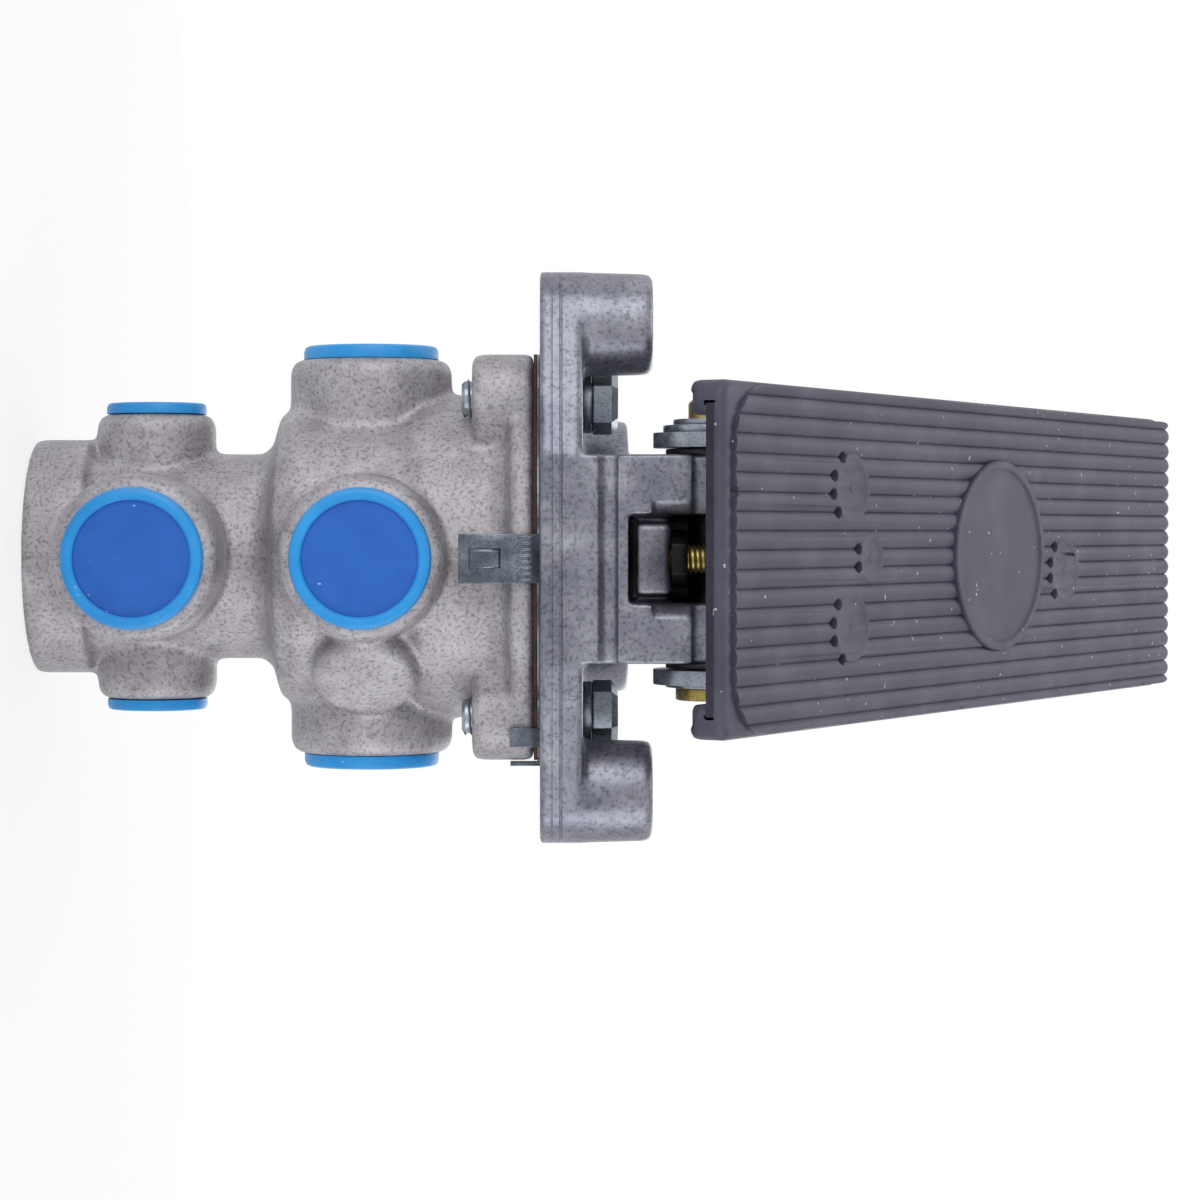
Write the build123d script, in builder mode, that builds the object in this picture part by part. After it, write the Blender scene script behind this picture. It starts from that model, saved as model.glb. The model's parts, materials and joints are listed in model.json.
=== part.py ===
from build123d import *
from math import cos, hypot, radians, sin
import os

# Foot brake valve with treadle. Millimetres, +Z up along the valve axis.
# The origin is on the valve axis, in the plane of the three posts' end faces.
# The driver sits on the -Y side, and the treadle rises towards +Y.

# Shared clearances
running_gap = 0.05
free_gap = 0.3

# Mounting base
post_length = 22.5
post_radius = 10.5
post_circle = 108.0
post_circle_offset = -5.5
post_hole_radius = 4.4
plate_thickness = 8.5
plate_radius = 44.0
boss_radius = 28.3
boss_height = 9.7
cavity_radius = 22.0
cavity_roof = 5.0
base_edge_fillet = 1.2

# Hinge pedestal
pedestal_width = 41.0
pedestal_front = 52.0
pedestal_step_height = 3.4
pedestal_step_setback = 1.8
lug_outer_radius = 9.5
pocket_width = 17.2
pocket_depth = 20.0
notch_width = 22.6
notch_depth = 3.0
notch_bottom = -0.6
bridge_bottom = -3.4
bridge_top = 3.2
bridge_thickness = 6.4
bridge_setback = 0.8
bridge_pad_width = 13.6
pocket_floor_rise = 2.0
notch_angle = 45.0

# Hinge and treadle
hinge_y = -40.0
hinge_z = 12.0
hinge_pin_radius = 5.0
treadle_angle = 35.0
lever_rise = 10.5
lever_thickness = 3.0
lever_heel = -18.0
lever_toe = 163.0
lever_heel_width = 60.0
lever_toe_width = 54.0
lever_corner = 6.0
ear_radius = 12.0
ear_thickness = 3.0
ear_clearance = 0.2
ear_flange_length = 128.0
trim_reach = 600.0
spacer_thickness = 1.2
spacer_radius = 9.5
pin_washer_radius = 10.0
pin_washer_thickness = 1.5
pin_head_radius = 7.5
pin_head_thickness = 2.6
pin_end_length = 4.0
pin_chamfer = 0.8
retainer_radius = 8.0
retainer_thickness = 1.2
head_washer_thickness = 0.6

# Treadle pad
pad_thickness = 6.0
pad_lip = 1.5
pad_lip_width = 2.2
heel_lip_depth = 4.8
heel_wing_width = 6.5
heel_wing_slope = 4.0
pad_heel = -26.0
pad_toe = 173.0
pad_heel_width = 68.9
pad_toe_width = 63.0
pad_toe_corner = 6.0
pad_heel_corner = 5.0
pad_opening_corner = 1.0
washer_notch_gap = 0.9
rib_pitch = 3.55
rib_count = 19
rib_groove_width = 1.6
rib_groove_depth = 1.2
rib_start = -22.2
medallion_radius = 20.5
medallion_place = 84.9
medallion_rise = 0.8
tread_discs = ((-14.0, 21.4, 7.0), (14.0, 21.4, 7.0), (0.0, 29.1, 5.0), (3.5, 116.8, 7.0))

# Roller
roller_radius = 9.0
roller_width = 17.4
roller_height = 38.2
roller_pin_radius = 4.0
roller_clip_radius = 6.0
roller_clip_thickness = 1.0
roller_pin_end = 1.4
cheek_thickness = 2.5
cheek_radius = 6.5
bracket_web = 2.0
bracket_length = 26.0

# Plunger, boot and graduating spring
plunger_radius = 8.5
plunger_head_radius = 11.0
plunger_head_height = 4.0
plunger_head_chamfer = 1.0
plunger_bore_radius = 5.0
plunger_bore_depth = 22.0
foot_radius = 15.0
foot_thickness = 4.0
foot_gap = 0.5
bush_wall = 2.5
bush_collar = 2.0
boot_wall = 1.4
boot_valley = 10.6
boot_peak = 14.6
boot_folds = 4
boot_taper = 2.0
seat_thickness = 1.2
graduating_coil_radius = 12.5
graduating_wire = 2.6
graduating_turns = 3.5
wire_sides = 6

# Flange joint
gasket_thickness = 0.7
tab_plate_thickness = 0.6
tab_width = 9.8
tab_thickness = 0.8
front_tab_length = 15.5
side_tab_length = 5.5
side_tab_width = 3.8

# Valve body casting
flange_radius = 41.0
flange_thickness = 4.4
flange_flare = 5.0
bell_radius = 33.8
bell_length = 22.8
bell_step = 4.5
mid_radius = 31.5
mid_length = 27.0
shoulder_fillet = 5.0
root_fillet = 3.0
neck_radius = 21.4
neck_length = 38.0
end_radius = 24.4
end_length = 12.0
end_fillet = 2.5
end_root_fillet = 1.5
lug_radius = 9.0
lug_length = 12.5
lug_reach = 8.0
bolt_spacing_x = 64.8
bolt_spacing_y = 42.0
lug_fillet = 1.7
boss_rim_fillet = 2.6
blind_boss_radius = 11.0
blind_boss_face = 36.2
blind_boss_dish = 0.8
blind_boss_angle = -45.0
blind_dish_taper = 30.0

# Ports: upper and lower level, front and side bosses
upper_level = -58.0
lower_level = -103.0
upper_front_boss = 16.7
upper_side_boss = 16.9
lower_front_boss = 16.9
lower_side_boss = 12.4
front_face = 42.0
upper_side_face = 41.2
lower_side_face = 29.8
large_thread_radius = 10.25
small_thread_radius = 7.25
large_port_depth = 14.0
small_port_depth = 10.0
large_plug_radius = 14.1
small_plug_radius = 10.4
plug_flange = 2.8
small_plug_flange = 2.3
plug_recess = 1.2
plug_rim = 2.6
plug_shank_depth = 8.0
plug_wall = 1.6
plug_edge = 1.0
passage_radius = 4.5
delivery_passage_radius = 3.2
outer_overrun = 1.0
relay_entry = 2.0
outlet_entry_rise = 4.0
front_port = 270
right_port = 0
left_port = 180

# Bores of the body, counted down from the flange face
piston_bore_radius = 23.0
piston_bore_depth = 22.2
relay_bore_radius = 20.0
relay_bore_depth = 52.2
outlet_bore_radius = 12.0
outlet_bore_depth = 66.2
seat_radius = 7.5
seat_web = 2.0
inlet_bore_radius = 14.0
exhaust_bore_radius = 17.5
exhaust_bore_depth = 10.0

# Bolts
bolt_radius = 4.0
bolt_hole_radius = 4.5
bolt_head_height = 5.3
bolt_head_flats = 13.0
bolt_washer_radius = 7.1
bolt_washer_thickness = 2.0
bolt_washer_gap = 1.2
bolt_end_rise = 2.2
bolt_end_chamfer = 0.8

# Stop screw
screw_radius = 3.0
screw_nut_flats = 10.0
screw_nut_height = 3.2
screw_tail = 1.5
screw_distance = 8.4

# Pistons and valves
piston_rest_gap = 7.2
piston_cup_radius = 17.0
piston_cup_depth = 4.0
piston_web = 3.5
piston_skirt = 4.0
stem_radius = 6.0
stem_bore_radius = 3.5
seal_height = 2.6
seal_depth = 1.8
stem_step = 0.5
valve_lead = 1.8
carrier_top_depth = 24.7
carrier_roof = 1.5
carrier_length = 11.5
carrier_bore_radius = 12.5
carrier_hole_radius = 1.8
carrier_hole_count = 6
carrier_hole_rise = 3.0
valve_disc_radius = 10.5
valve_disc_thickness = 1.4
valve_face_thickness = 1.1
guide_thickness = 3.0
relay_piston_top = 41.7
relay_piston_height = 5.5
relay_recess = 3.5
light_wire = 1.4
heavy_wire = 1.8
piston_spring_turns = 2.5
relay_spring_turns = 2.0
valve_spring_turns = 2.5
secondary_spring_turns = 3.0
exhaust_guide_depth = 12.0
exhaust_guide_thickness = 6.0
ring_thickness = 1.4
ring_groove = 0.8
ring_width = 2.6
ring_opening = 6.0
exhaust_plate_thickness = 1.5
exhaust_hole_radius = 2.6
exhaust_hole_count = 8
flap_radius = 14.5
flap_thickness = 1.6
flap_stud_radius = 2.5
flap_button_radius = 4.5
flap_ring_gap = 0.1

# Levels worked out from the sizes
base_bottom = -post_length
plate_top = base_bottom + plate_thickness
boss_top = plate_top + boss_height
cavity_top = boss_top - cavity_roof
flange_top = base_bottom - gasket_thickness - tab_plate_thickness
flange_bottom = flange_top - flange_thickness
bell_bottom = flange_bottom - bell_length
shoulder_level = bell_bottom - mid_length
neck_bottom = shoulder_level - neck_length
body_bottom = neck_bottom - end_length
piston_bore_bottom = flange_top - piston_bore_depth
relay_bore_bottom = flange_top - relay_bore_depth
outlet_bore_bottom = flange_top - outlet_bore_depth
inlet_bore_top = outlet_bore_bottom - seat_web
exhaust_bore_top = body_bottom + exhaust_bore_depth
pedestal_bottom = plate_top + 2 * pedestal_step_height
pocket_floor = pedestal_bottom + pocket_floor_rise
screw_y = hinge_y - screw_distance
ear_inner = pedestal_width / 2 + spacer_thickness + ear_clearance
ear_outer = ear_inner + ear_thickness
pad_underside = lever_rise + lever_thickness
pad_top = pad_underside + pad_thickness
plunger_top = roller_height - roller_radius - free_gap
pin_left = ear_outer + pin_washer_thickness + retainer_thickness + pin_end_length
pin_right = ear_outer + head_washer_thickness
plunger_head_bottom = plunger_top - plunger_head_height
foot_top = cavity_top - foot_gap
foot_bottom = foot_top - foot_thickness
carrier_top = flange_top - carrier_top_depth
valve_seat_level = carrier_top - carrier_roof
carrier_bottom = carrier_top - carrier_length
piston_top = flange_top - piston_rest_gap
piston_floor = piston_top - piston_cup_depth
piston_web_bottom = piston_floor - piston_web
piston_bottom = piston_web_bottom - piston_skirt
relay_top = flange_top - relay_piston_top
relay_bottom = relay_top - relay_piston_height
exhaust_guide_top = inlet_bore_top - exhaust_guide_depth - valve_face_thickness - valve_disc_thickness
exhaust_guide_bottom = exhaust_guide_top - exhaust_guide_thickness
flap_ring_top = exhaust_bore_top - exhaust_plate_thickness - flap_ring_gap

# Treadle planes: along the lever as seen from the side, and the lever's own face
slope_cos = cos(radians(treadle_angle))
slope_sin = sin(radians(treadle_angle))
hinge_point = Vector(0, hinge_y, hinge_z)
treadle_side = Plane(origin=hinge_point, x_dir=(0, slope_cos, slope_sin), z_dir=(1, 0, 0))
treadle_face = Plane(origin=hinge_point, x_dir=(1, 0, 0), z_dir=(0, -slope_sin, slope_cos))

# The roller's centre, along the lever and square to it
roller_reach = -hinge_y * slope_cos + (roller_height - hinge_z) * slope_sin
roller_offset = hinge_y * slope_sin + (roller_height - hinge_z) * slope_cos

# The stop screw's dome lies one clearance under the lever, square to it
screw_dome_level = hinge_z + (lever_rise - screw_radius - free_gap - screw_distance * slope_sin) / slope_cos


def save(piece, name):
    """Label a finished piece and write it to the parts folder."""
    piece.part.label = name
    export_step(piece.part, f"parts/{name}.step")


def facing(angle, distance, level):
    """A plane square to a radius of the valve, looking outwards."""
    outward = Vector(1, 0, 0).rotate(Axis.Z, angle)
    return Plane(origin=outward * distance + Vector(0, 0, level), z_dir=outward)


def turned(points):
    """A solid of revolution about the valve axis, from a closed outline of radius and level."""
    with BuildPart() as piece:
        with BuildSketch(Plane.XZ):
            with BuildLine():
                Polyline(points, close=True)
            make_face()
        revolve(axis=Axis.Z)
    return piece


def ring(outer, inner, bottom, top):
    """A plain ring about the valve axis."""
    with BuildPart() as piece:
        with BuildSketch(Plane.XY.offset(bottom)):
            Circle(outer)
            Circle(inner, mode=Mode.SUBTRACT)
        extrude(amount=top - bottom)
    return piece


def coil(mean_radius, wire, turns, bottom, top):
    """An open coil spring whose wire, drawn with flats, just reaches both levels."""
    free_length = top - bottom - wire
    with BuildPart() as piece:
        with BuildLine(Plane.XY.offset(bottom + wire / 2)):
            helix = Helix(pitch=free_length / turns, height=free_length, radius=mean_radius)
        with BuildSketch(Plane(origin=helix @ 0, z_dir=helix % 0)):
            RegularPolygon(wire / 2, wire_sides)
        sweep(path=helix)
    return piece


def lever_outline(heel, toe, heel_width, toe_width, heel_corner, toe_corner):
    """The tapered outline of the treadle on its own face."""
    with BuildSketch() as outline:
        with BuildLine():
            Polyline(
                (-heel_width / 2, heel),
                (heel_width / 2, heel),
                (toe_width / 2, toe),
                (-toe_width / 2, toe),
                close=True,
            )
        make_face()
        fillet(outline.vertices().group_by(Axis.Y)[0], heel_corner)
        fillet(outline.vertices().group_by(Axis.Y)[-1], toe_corner)
    return outline


# The six ports: direction, level, boss radius, distance of the face, and whether the thread is
# the large one
ports = {
    "upper_port_plug_front": (front_port, upper_level, upper_front_boss, front_face, True),
    "upper_port_plug_right": (right_port, upper_level, upper_side_boss, upper_side_face, True),
    "upper_port_plug_left": (left_port, upper_level, upper_side_boss, upper_side_face, True),
    "lower_port_plug_front": (front_port, lower_level, lower_front_boss, front_face, True),
    "lower_port_plug_right": (right_port, lower_level, lower_side_boss, lower_side_face, False),
    "lower_port_plug_left": (left_port, lower_level, lower_side_boss, lower_side_face, False),
}


def lug_profile():
    """Four bolt lugs, each drawn out towards the bell."""
    with BuildSketch() as lugs:
        for side in (-1, 1):
            for end in (-1, 1):
                lug_x = side * bolt_spacing_x / 2
                lug_y = end * bolt_spacing_y / 2
                inward = 1 - lug_reach / hypot(lug_x, lug_y)
                with BuildSketch(mode=Mode.ADD):
                    with Locations((lug_x, lug_y), (lug_x * inward, lug_y * inward)):
                        Circle(lug_radius)
                    make_hull()
    return lugs


def make_lugs():
    """The lugs as solids, rounded at their lower ends."""
    with BuildPart() as lugs:
        with BuildSketch(Plane.XY.offset(flange_top)):
            add(lug_profile())
        extrude(amount=-lug_length)
        fillet(lugs.faces().group_by(Axis.Z)[0].edges(), lug_fillet)
    return lugs


def make_valve_body():
    """The cast body: turned form, six port bosses, four bolt lugs and the stepped bore."""
    lugs = make_lugs()
    with BuildPart() as body:
        with BuildSketch(Plane.XZ) as outline:
            with BuildLine():
                Polyline(
                    (0, body_bottom),
                    (end_radius, body_bottom),
                    (end_radius, neck_bottom),
                    (neck_radius, neck_bottom),
                    (neck_radius, shoulder_level),
                    (mid_radius, shoulder_level),
                    (mid_radius, bell_bottom),
                    (bell_radius, bell_bottom + bell_step),
                    (bell_radius, flange_bottom),
                    (flange_radius, flange_bottom),
                    (flange_radius, flange_top),
                    (0, flange_top),
                    close=True,
                )
            make_face()
            fillet(outline.vertices().sort_by_distance((end_radius, body_bottom, 0))[0], end_fillet)
            fillet(outline.vertices().sort_by_distance((bell_radius, flange_bottom, 0))[0], flange_flare)
            fillet(outline.vertices().sort_by_distance((mid_radius, shoulder_level, 0))[0], shoulder_fillet)
            fillet(outline.vertices().sort_by_distance((neck_radius, shoulder_level, 0))[0], root_fillet)
            fillet(outline.vertices().sort_by_distance((neck_radius, neck_bottom, 0))[0], end_root_fillet)
        revolve(axis=Axis.Z)

        for angle, level, radius, face, large in ports.values():
            with BuildSketch(facing(angle, face, level)):
                Circle(radius)
            extrude(amount=-face)

        with BuildSketch(facing(blind_boss_angle, blind_boss_face, upper_level)):
            Circle(blind_boss_radius)
        extrude(amount=-blind_boss_face)
        fillet(boss_rims(body), boss_rim_fillet)

        add(lugs.part)

        with BuildSketch(Plane.XZ):
            with BuildLine():
                Polyline(
                    (0, flange_top),
                    (piston_bore_radius, flange_top),
                    (piston_bore_radius, piston_bore_bottom),
                    (relay_bore_radius, piston_bore_bottom),
                    (relay_bore_radius, relay_bore_bottom),
                    (outlet_bore_radius, relay_bore_bottom),
                    (outlet_bore_radius, outlet_bore_bottom),
                    (seat_radius, outlet_bore_bottom),
                    (seat_radius, inlet_bore_top),
                    (inlet_bore_radius, inlet_bore_top),
                    (inlet_bore_radius, exhaust_bore_top),
                    (exhaust_bore_radius, exhaust_bore_top),
                    (exhaust_bore_radius, body_bottom),
                    (0, body_bottom),
                    close=True,
                )
            make_face()
        revolve(axis=Axis.Z, mode=Mode.SUBTRACT)
        ring_grooves = ((exhaust_guide_bottom, inlet_bore_radius), (flap_ring_top, exhaust_bore_radius))
        for level, bore in ring_grooves:
            with BuildSketch(Plane.XY.offset(level)):
                Circle(bore + ring_groove)
            extrude(amount=-ring_thickness, mode=Mode.SUBTRACT)

        for angle, level, radius, face, large in ports.values():
            thread = large_thread_radius if large else small_thread_radius
            depth = large_port_depth if large else small_port_depth
            with BuildSketch(facing(angle, face, level)):
                Circle(thread)
            extrude(amount=-depth, mode=Mode.SUBTRACT)
            floor = face - depth
            if angle == front_port:
                with BuildSketch(facing(angle, floor + outer_overrun, level)):
                    Circle(passage_radius)
                extrude(amount=inlet_bore_radius - floor - outer_overrun, mode=Mode.SUBTRACT)
            else:
                upper = level == upper_level
                chamber_radius = relay_bore_radius if upper else outlet_bore_radius
                chamber_level = piston_bore_bottom if upper else outlet_bore_bottom + outlet_entry_rise
                side = 1 if angle == right_port else -1
                slant = Vector(side * (chamber_radius - relay_entry - floor), 0, chamber_level - level)
                start = (side * (floor + outer_overrun), 0, level - outer_overrun)
                with BuildSketch(Plane(origin=start, z_dir=slant)):
                    Circle(delivery_passage_radius)
                extrude(amount=slant.length + outer_overrun, mode=Mode.SUBTRACT)

        with BuildSketch(facing(blind_boss_angle, blind_boss_face, upper_level)):
            Circle(blind_boss_radius - boss_rim_fillet - blind_boss_dish)
        extrude(amount=-blind_boss_dish, taper=blind_dish_taper, mode=Mode.SUBTRACT)

        with BuildSketch(Plane.XY.offset(flange_top)):
            with GridLocations(bolt_spacing_x, bolt_spacing_y, 2, 2):
                Circle(bolt_radius + running_gap)
        extrude(amount=-lug_length, mode=Mode.SUBTRACT)
    return body


def boss_rims(body):
    """The round outer edges of the seven bosses."""
    rims = []
    for angle, level, radius, face, large in ports.values():
        centre = facing(angle, face, level).origin
        rims.append(body.edges().filter_by(GeomType.CIRCLE).sort_by_distance(centre)[0])
    centre = facing(blind_boss_angle, blind_boss_face, upper_level).origin
    rims.append(body.edges().filter_by(GeomType.CIRCLE).sort_by_distance(centre)[0])
    return rims


def make_port_plug(angle, level, face, large):
    """A hollow plug with a raised rim and a shallow dished face."""
    flange_radius_here = large_plug_radius if large else small_plug_radius
    flange = plug_flange if large else small_plug_flange
    shank = (large_thread_radius if large else small_thread_radius) - free_gap
    with BuildPart() as plug:
        with BuildSketch(facing(angle, face, level)):
            Circle(flange_radius_here)
        extrude(amount=flange)
        outward = Axis((0, 0, level), facing(angle, face, level).z_dir)
        chamfer(plug.faces().sort_by(outward)[-1].edges(), plug_edge)
        with BuildSketch(facing(angle, face + flange, level)):
            Circle(flange_radius_here - plug_rim)
        extrude(amount=-plug_recess, mode=Mode.SUBTRACT)
        with BuildSketch(facing(angle, face, level)):
            Circle(shank)
        extrude(amount=-plug_shank_depth)
        with BuildSketch(facing(angle, face - plug_shank_depth, level)):
            Circle(shank - plug_wall)
        extrude(amount=plug_shank_depth, mode=Mode.SUBTRACT)
    return plug


def flange_outline():
    """The outline of the flange joint: the round flange with its four lugs."""
    with BuildSketch() as outline:
        Circle(flange_radius)
        add(lug_profile())
        with GridLocations(bolt_spacing_x, bolt_spacing_y, 2, 2):
            Circle(bolt_hole_radius, mode=Mode.SUBTRACT)
        Circle(piston_bore_radius, mode=Mode.SUBTRACT)
    return outline


def make_flange_gasket():
    """The flat gasket on the body's flange."""
    with BuildPart() as gasket:
        with BuildSketch(Plane.XY.offset(flange_top)):
            add(flange_outline())
        extrude(amount=gasket_thickness)
    return gasket


def make_tab_plate():
    """A thin steel plate in the joint, with tabs bent down over the flange and the right front lug."""
    plate_bottom = flange_top + gasket_thickness
    tab_front = flange_radius + free_gap + tab_thickness
    lug_side = bolt_spacing_x / 2 + lug_radius + free_gap + tab_thickness
    lug_front = bolt_spacing_y / 2 + lug_radius + free_gap + tab_thickness
    hook_x = bolt_spacing_x / 2 + side_tab_width
    with BuildPart() as plate:
        with BuildSketch(Plane.XY.offset(plate_bottom)):
            add(flange_outline())
            with Locations((0, -tab_front)):
                Rectangle(tab_width, tab_width, align=(Align.CENTER, Align.MIN))
            with Locations((lug_side, -bolt_spacing_y / 2)):
                Rectangle(lug_radius / 2, side_tab_width, align=(Align.MAX, Align.CENTER))
            with Locations((hook_x, -lug_front)):
                Rectangle(side_tab_width, lug_radius / 2, align=(Align.CENTER, Align.MIN))
        extrude(amount=tab_plate_thickness)
        with BuildSketch(Plane.XY.offset(plate_bottom)):
            with Locations((0, -tab_front)):
                Rectangle(tab_width, tab_thickness, align=(Align.CENTER, Align.MIN))
        extrude(amount=-front_tab_length)
        with BuildSketch(Plane.XY.offset(plate_bottom)):
            with Locations((lug_side, -bolt_spacing_y / 2)):
                Rectangle(tab_thickness, side_tab_width, align=(Align.MAX, Align.CENTER))
            with Locations((hook_x, -lug_front)):
                Rectangle(side_tab_width, tab_thickness, align=(Align.CENTER, Align.MIN))
        extrude(amount=-side_tab_length)
        with BuildSketch(Plane.XY.offset(plate_bottom)):
            with GridLocations(bolt_spacing_x, bolt_spacing_y, 2, 2):
                Circle(bolt_hole_radius)
        extrude(amount=tab_plate_thickness, mode=Mode.SUBTRACT)
    return plate


def make_mounting_base():
    """The die-cast base: plate, three posts, round boss and the hinge pedestal."""
    step_front = pedestal_front - pedestal_step_setback
    with BuildPart() as base:
        with BuildSketch(Plane.XY.offset(base_bottom)):
            Circle(plate_radius)
            with Locations((0, post_circle_offset)):
                with PolarLocations(post_circle / 2, 3, start_angle=90):
                    Circle(post_radius)
            with Locations((0, -pedestal_front)):
                Rectangle(pedestal_width, post_radius, align=(Align.CENTER, Align.MIN))
            make_hull()
        extrude(amount=plate_thickness)
        fillet(base.faces().sort_by(Axis.Z)[-1].edges(), base_edge_fillet)

        with BuildSketch(Plane.XY.offset(plate_top)):
            Circle(boss_radius)
        extrude(amount=boss_height)
        fillet(base.faces().sort_by(Axis.Z)[-1].edges(), base_edge_fillet)
        with BuildSketch(Plane.XY.offset(base_bottom)):
            with Locations((0, post_circle_offset)):
                with PolarLocations(post_circle / 2, 3, start_angle=90):
                    Circle(post_radius)
        extrude(amount=post_length)

        with BuildSketch(Plane.XY.offset(plate_top)):
            with Locations((0, -pedestal_front)):
                Rectangle(pedestal_width, pedestal_front, align=(Align.CENTER, Align.MIN))
        extrude(amount=pedestal_step_height)
        with BuildSketch(Plane.XY.offset(plate_top)):
            with Locations((0, -step_front)):
                Rectangle(pedestal_width, step_front, align=(Align.CENTER, Align.MIN))
        extrude(amount=2 * pedestal_step_height)

        with BuildSketch(Plane.YZ) as side:
            with BuildLine():
                Polyline(
                    (-pedestal_front, pedestal_bottom),
                    (-pedestal_front, hinge_z - lug_outer_radius / 2),
                    (hinge_y, hinge_z - lug_outer_radius / 2),
                    (hinge_y + lug_outer_radius, hinge_z - lug_outer_radius / 2),
                    (-boss_radius / 2, boss_top - base_edge_fillet),
                    (-boss_radius / 2, pedestal_bottom),
                    close=True,
                )
            make_face()
            with Locations((hinge_y, hinge_z)):
                Circle(lug_outer_radius)
        extrude(amount=pedestal_width / 2, both=True)

        with BuildSketch(Plane.XY.offset(pocket_floor)):
            with Locations((0, -pedestal_front)):
                Rectangle(pocket_width, pocket_depth, align=(Align.CENTER, Align.MIN))
        extrude(amount=pedestal_front, mode=Mode.SUBTRACT)
        with BuildSketch(Plane.XY.offset(notch_bottom)):
            with Locations((0, -pedestal_front)):
                Trapezoid(notch_width, notch_depth, notch_angle, align=(Align.CENTER, Align.MIN))
        extrude(amount=pedestal_front, mode=Mode.SUBTRACT)
        with BuildSketch(Plane.XY.offset(bridge_bottom)):
            with Locations((0, -pedestal_front + bridge_setback)):
                Rectangle(bridge_pad_width, bridge_thickness, align=(Align.CENTER, Align.MIN))
            with Locations((0, -pedestal_front + bridge_setback + bridge_thickness)):
                Rectangle(pocket_width, bridge_thickness / 2, align=(Align.CENTER, Align.MAX))
        extrude(amount=bridge_top - bridge_bottom)

        with BuildSketch(Plane.XY.offset(base_bottom)):
            Circle(cavity_radius)
        extrude(amount=cavity_top - base_bottom, mode=Mode.SUBTRACT)
        with BuildSketch(Plane.XY.offset(cavity_top)):
            Circle(plunger_radius + running_gap + bush_wall)
        extrude(amount=cavity_roof, mode=Mode.SUBTRACT)
        with BuildSketch(Plane.XY.offset(base_bottom)):
            with Locations((0, post_circle_offset)):
                with PolarLocations(post_circle / 2, 3, start_angle=90):
                    Circle(post_hole_radius)
            with GridLocations(bolt_spacing_x, bolt_spacing_y, 2, 2):
                Circle(bolt_hole_radius)
        extrude(amount=post_length, mode=Mode.SUBTRACT)
        with BuildSketch(Plane.YZ):
            with Locations((hinge_y, hinge_z)):
                Circle(hinge_pin_radius + running_gap)
        extrude(amount=pedestal_width, both=True, mode=Mode.SUBTRACT)
        with BuildSketch(Plane.XY.offset(bridge_bottom)):
            with Locations((0, screw_y)):
                Circle(screw_radius + running_gap)
        extrude(amount=bridge_top - bridge_bottom, mode=Mode.SUBTRACT)
    return base


def make_bolts():
    """Four hex bolts that hold the base to the body."""
    head_bottom = plate_top + bolt_washer_thickness
    with BuildPart() as bolts:
        with BuildSketch(Plane.XY.offset(head_bottom)):
            with GridLocations(bolt_spacing_x, bolt_spacing_y, 2, 2):
                RegularPolygon(bolt_head_flats / 2, 6, major_radius=False)
        extrude(amount=bolt_head_height)
        with BuildSketch(Plane.XY.offset(head_bottom)):
            with GridLocations(bolt_spacing_x, bolt_spacing_y, 2, 2):
                Circle(bolt_radius)
        extrude(amount=-(head_bottom - flange_top + lug_length + bolt_end_rise))
        chamfer(bolts.faces().sort_by(Axis.Z)[0:4].edges(), bolt_end_chamfer)
    return bolts


def make_bolt_washers():
    """Spring washers under the four bolt heads, each split by a gap."""
    with BuildPart() as washers:
        with BuildSketch(Plane.XY.offset(plate_top)):
            with GridLocations(bolt_spacing_x, bolt_spacing_y, 2, 2):
                Circle(bolt_washer_radius)
                Circle(bolt_radius + free_gap, mode=Mode.SUBTRACT)
                Rectangle(bolt_washer_gap, bolt_washer_radius, align=(Align.CENTER, Align.MIN),
                          mode=Mode.SUBTRACT)
        extrude(amount=bolt_washer_thickness)
    return washers


def make_hinge_pin():
    """The hinge pin with its flat head on the right."""
    with BuildPart() as pin:
        with BuildSketch(Plane.YZ.offset(-pin_left)):
            with Locations((hinge_y, hinge_z)):
                Circle(hinge_pin_radius)
        extrude(amount=pin_left + pin_right)
        with BuildSketch(Plane.YZ.offset(pin_right)):
            with Locations((hinge_y, hinge_z)):
                Circle(pin_head_radius)
        extrude(amount=pin_head_thickness)
        chamfer(pin.faces().sort_by(Axis.X)[0].edges(), pin_chamfer)
    return pin


def hinge_rings(radius, hole, starts, thickness):
    """Flat rings on the hinge pin, one from each starting place towards +X."""
    with BuildPart() as rings:
        for start in starts:
            with BuildSketch(Plane.YZ.offset(start)):
                with Locations((hinge_y, hinge_z)):
                    Circle(radius)
                    Circle(hole, mode=Mode.SUBTRACT)
            extrude(amount=thickness)
    return rings


def make_stop_screw():
    """The stop screw that carries the lever's heel at rest, with a domed end."""
    with BuildPart() as screw:
        with BuildSketch(Plane.XY.offset(bridge_bottom - screw_tail)):
            with Locations((0, screw_y)):
                Circle(screw_radius)
        extrude(amount=screw_dome_level - bridge_bottom + screw_tail)
        with Locations((0, screw_y, screw_dome_level)):
            Sphere(screw_radius)
    return screw


def make_screw_nut():
    """The lock nut on top of the bridge."""
    with BuildPart() as nut:
        with BuildSketch(Plane.XY.offset(bridge_top)):
            with Locations((0, screw_y)):
                RegularPolygon(screw_nut_flats / 2, 6, major_radius=False)
                Circle(screw_radius + running_gap, mode=Mode.SUBTRACT)
        extrude(amount=screw_nut_height)
    return nut


def make_boot():
    """The rubber boot: a thin bellows from the boss up to the plunger's head."""
    boot_bottom = boss_top
    fold = (plunger_head_bottom - boot_bottom) / (2 * boot_folds)
    outer = []
    for step in range(2 * boot_folds + 1):
        radius = boot_peak if step % 2 == 0 else boot_valley + boot_wall
        outer.append((radius - boot_taper * step / (2 * boot_folds), boot_bottom + step * fold))
    inner = [(radius - boot_wall, level) for radius, level in reversed(outer)]
    return turned(outer + inner)


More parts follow.
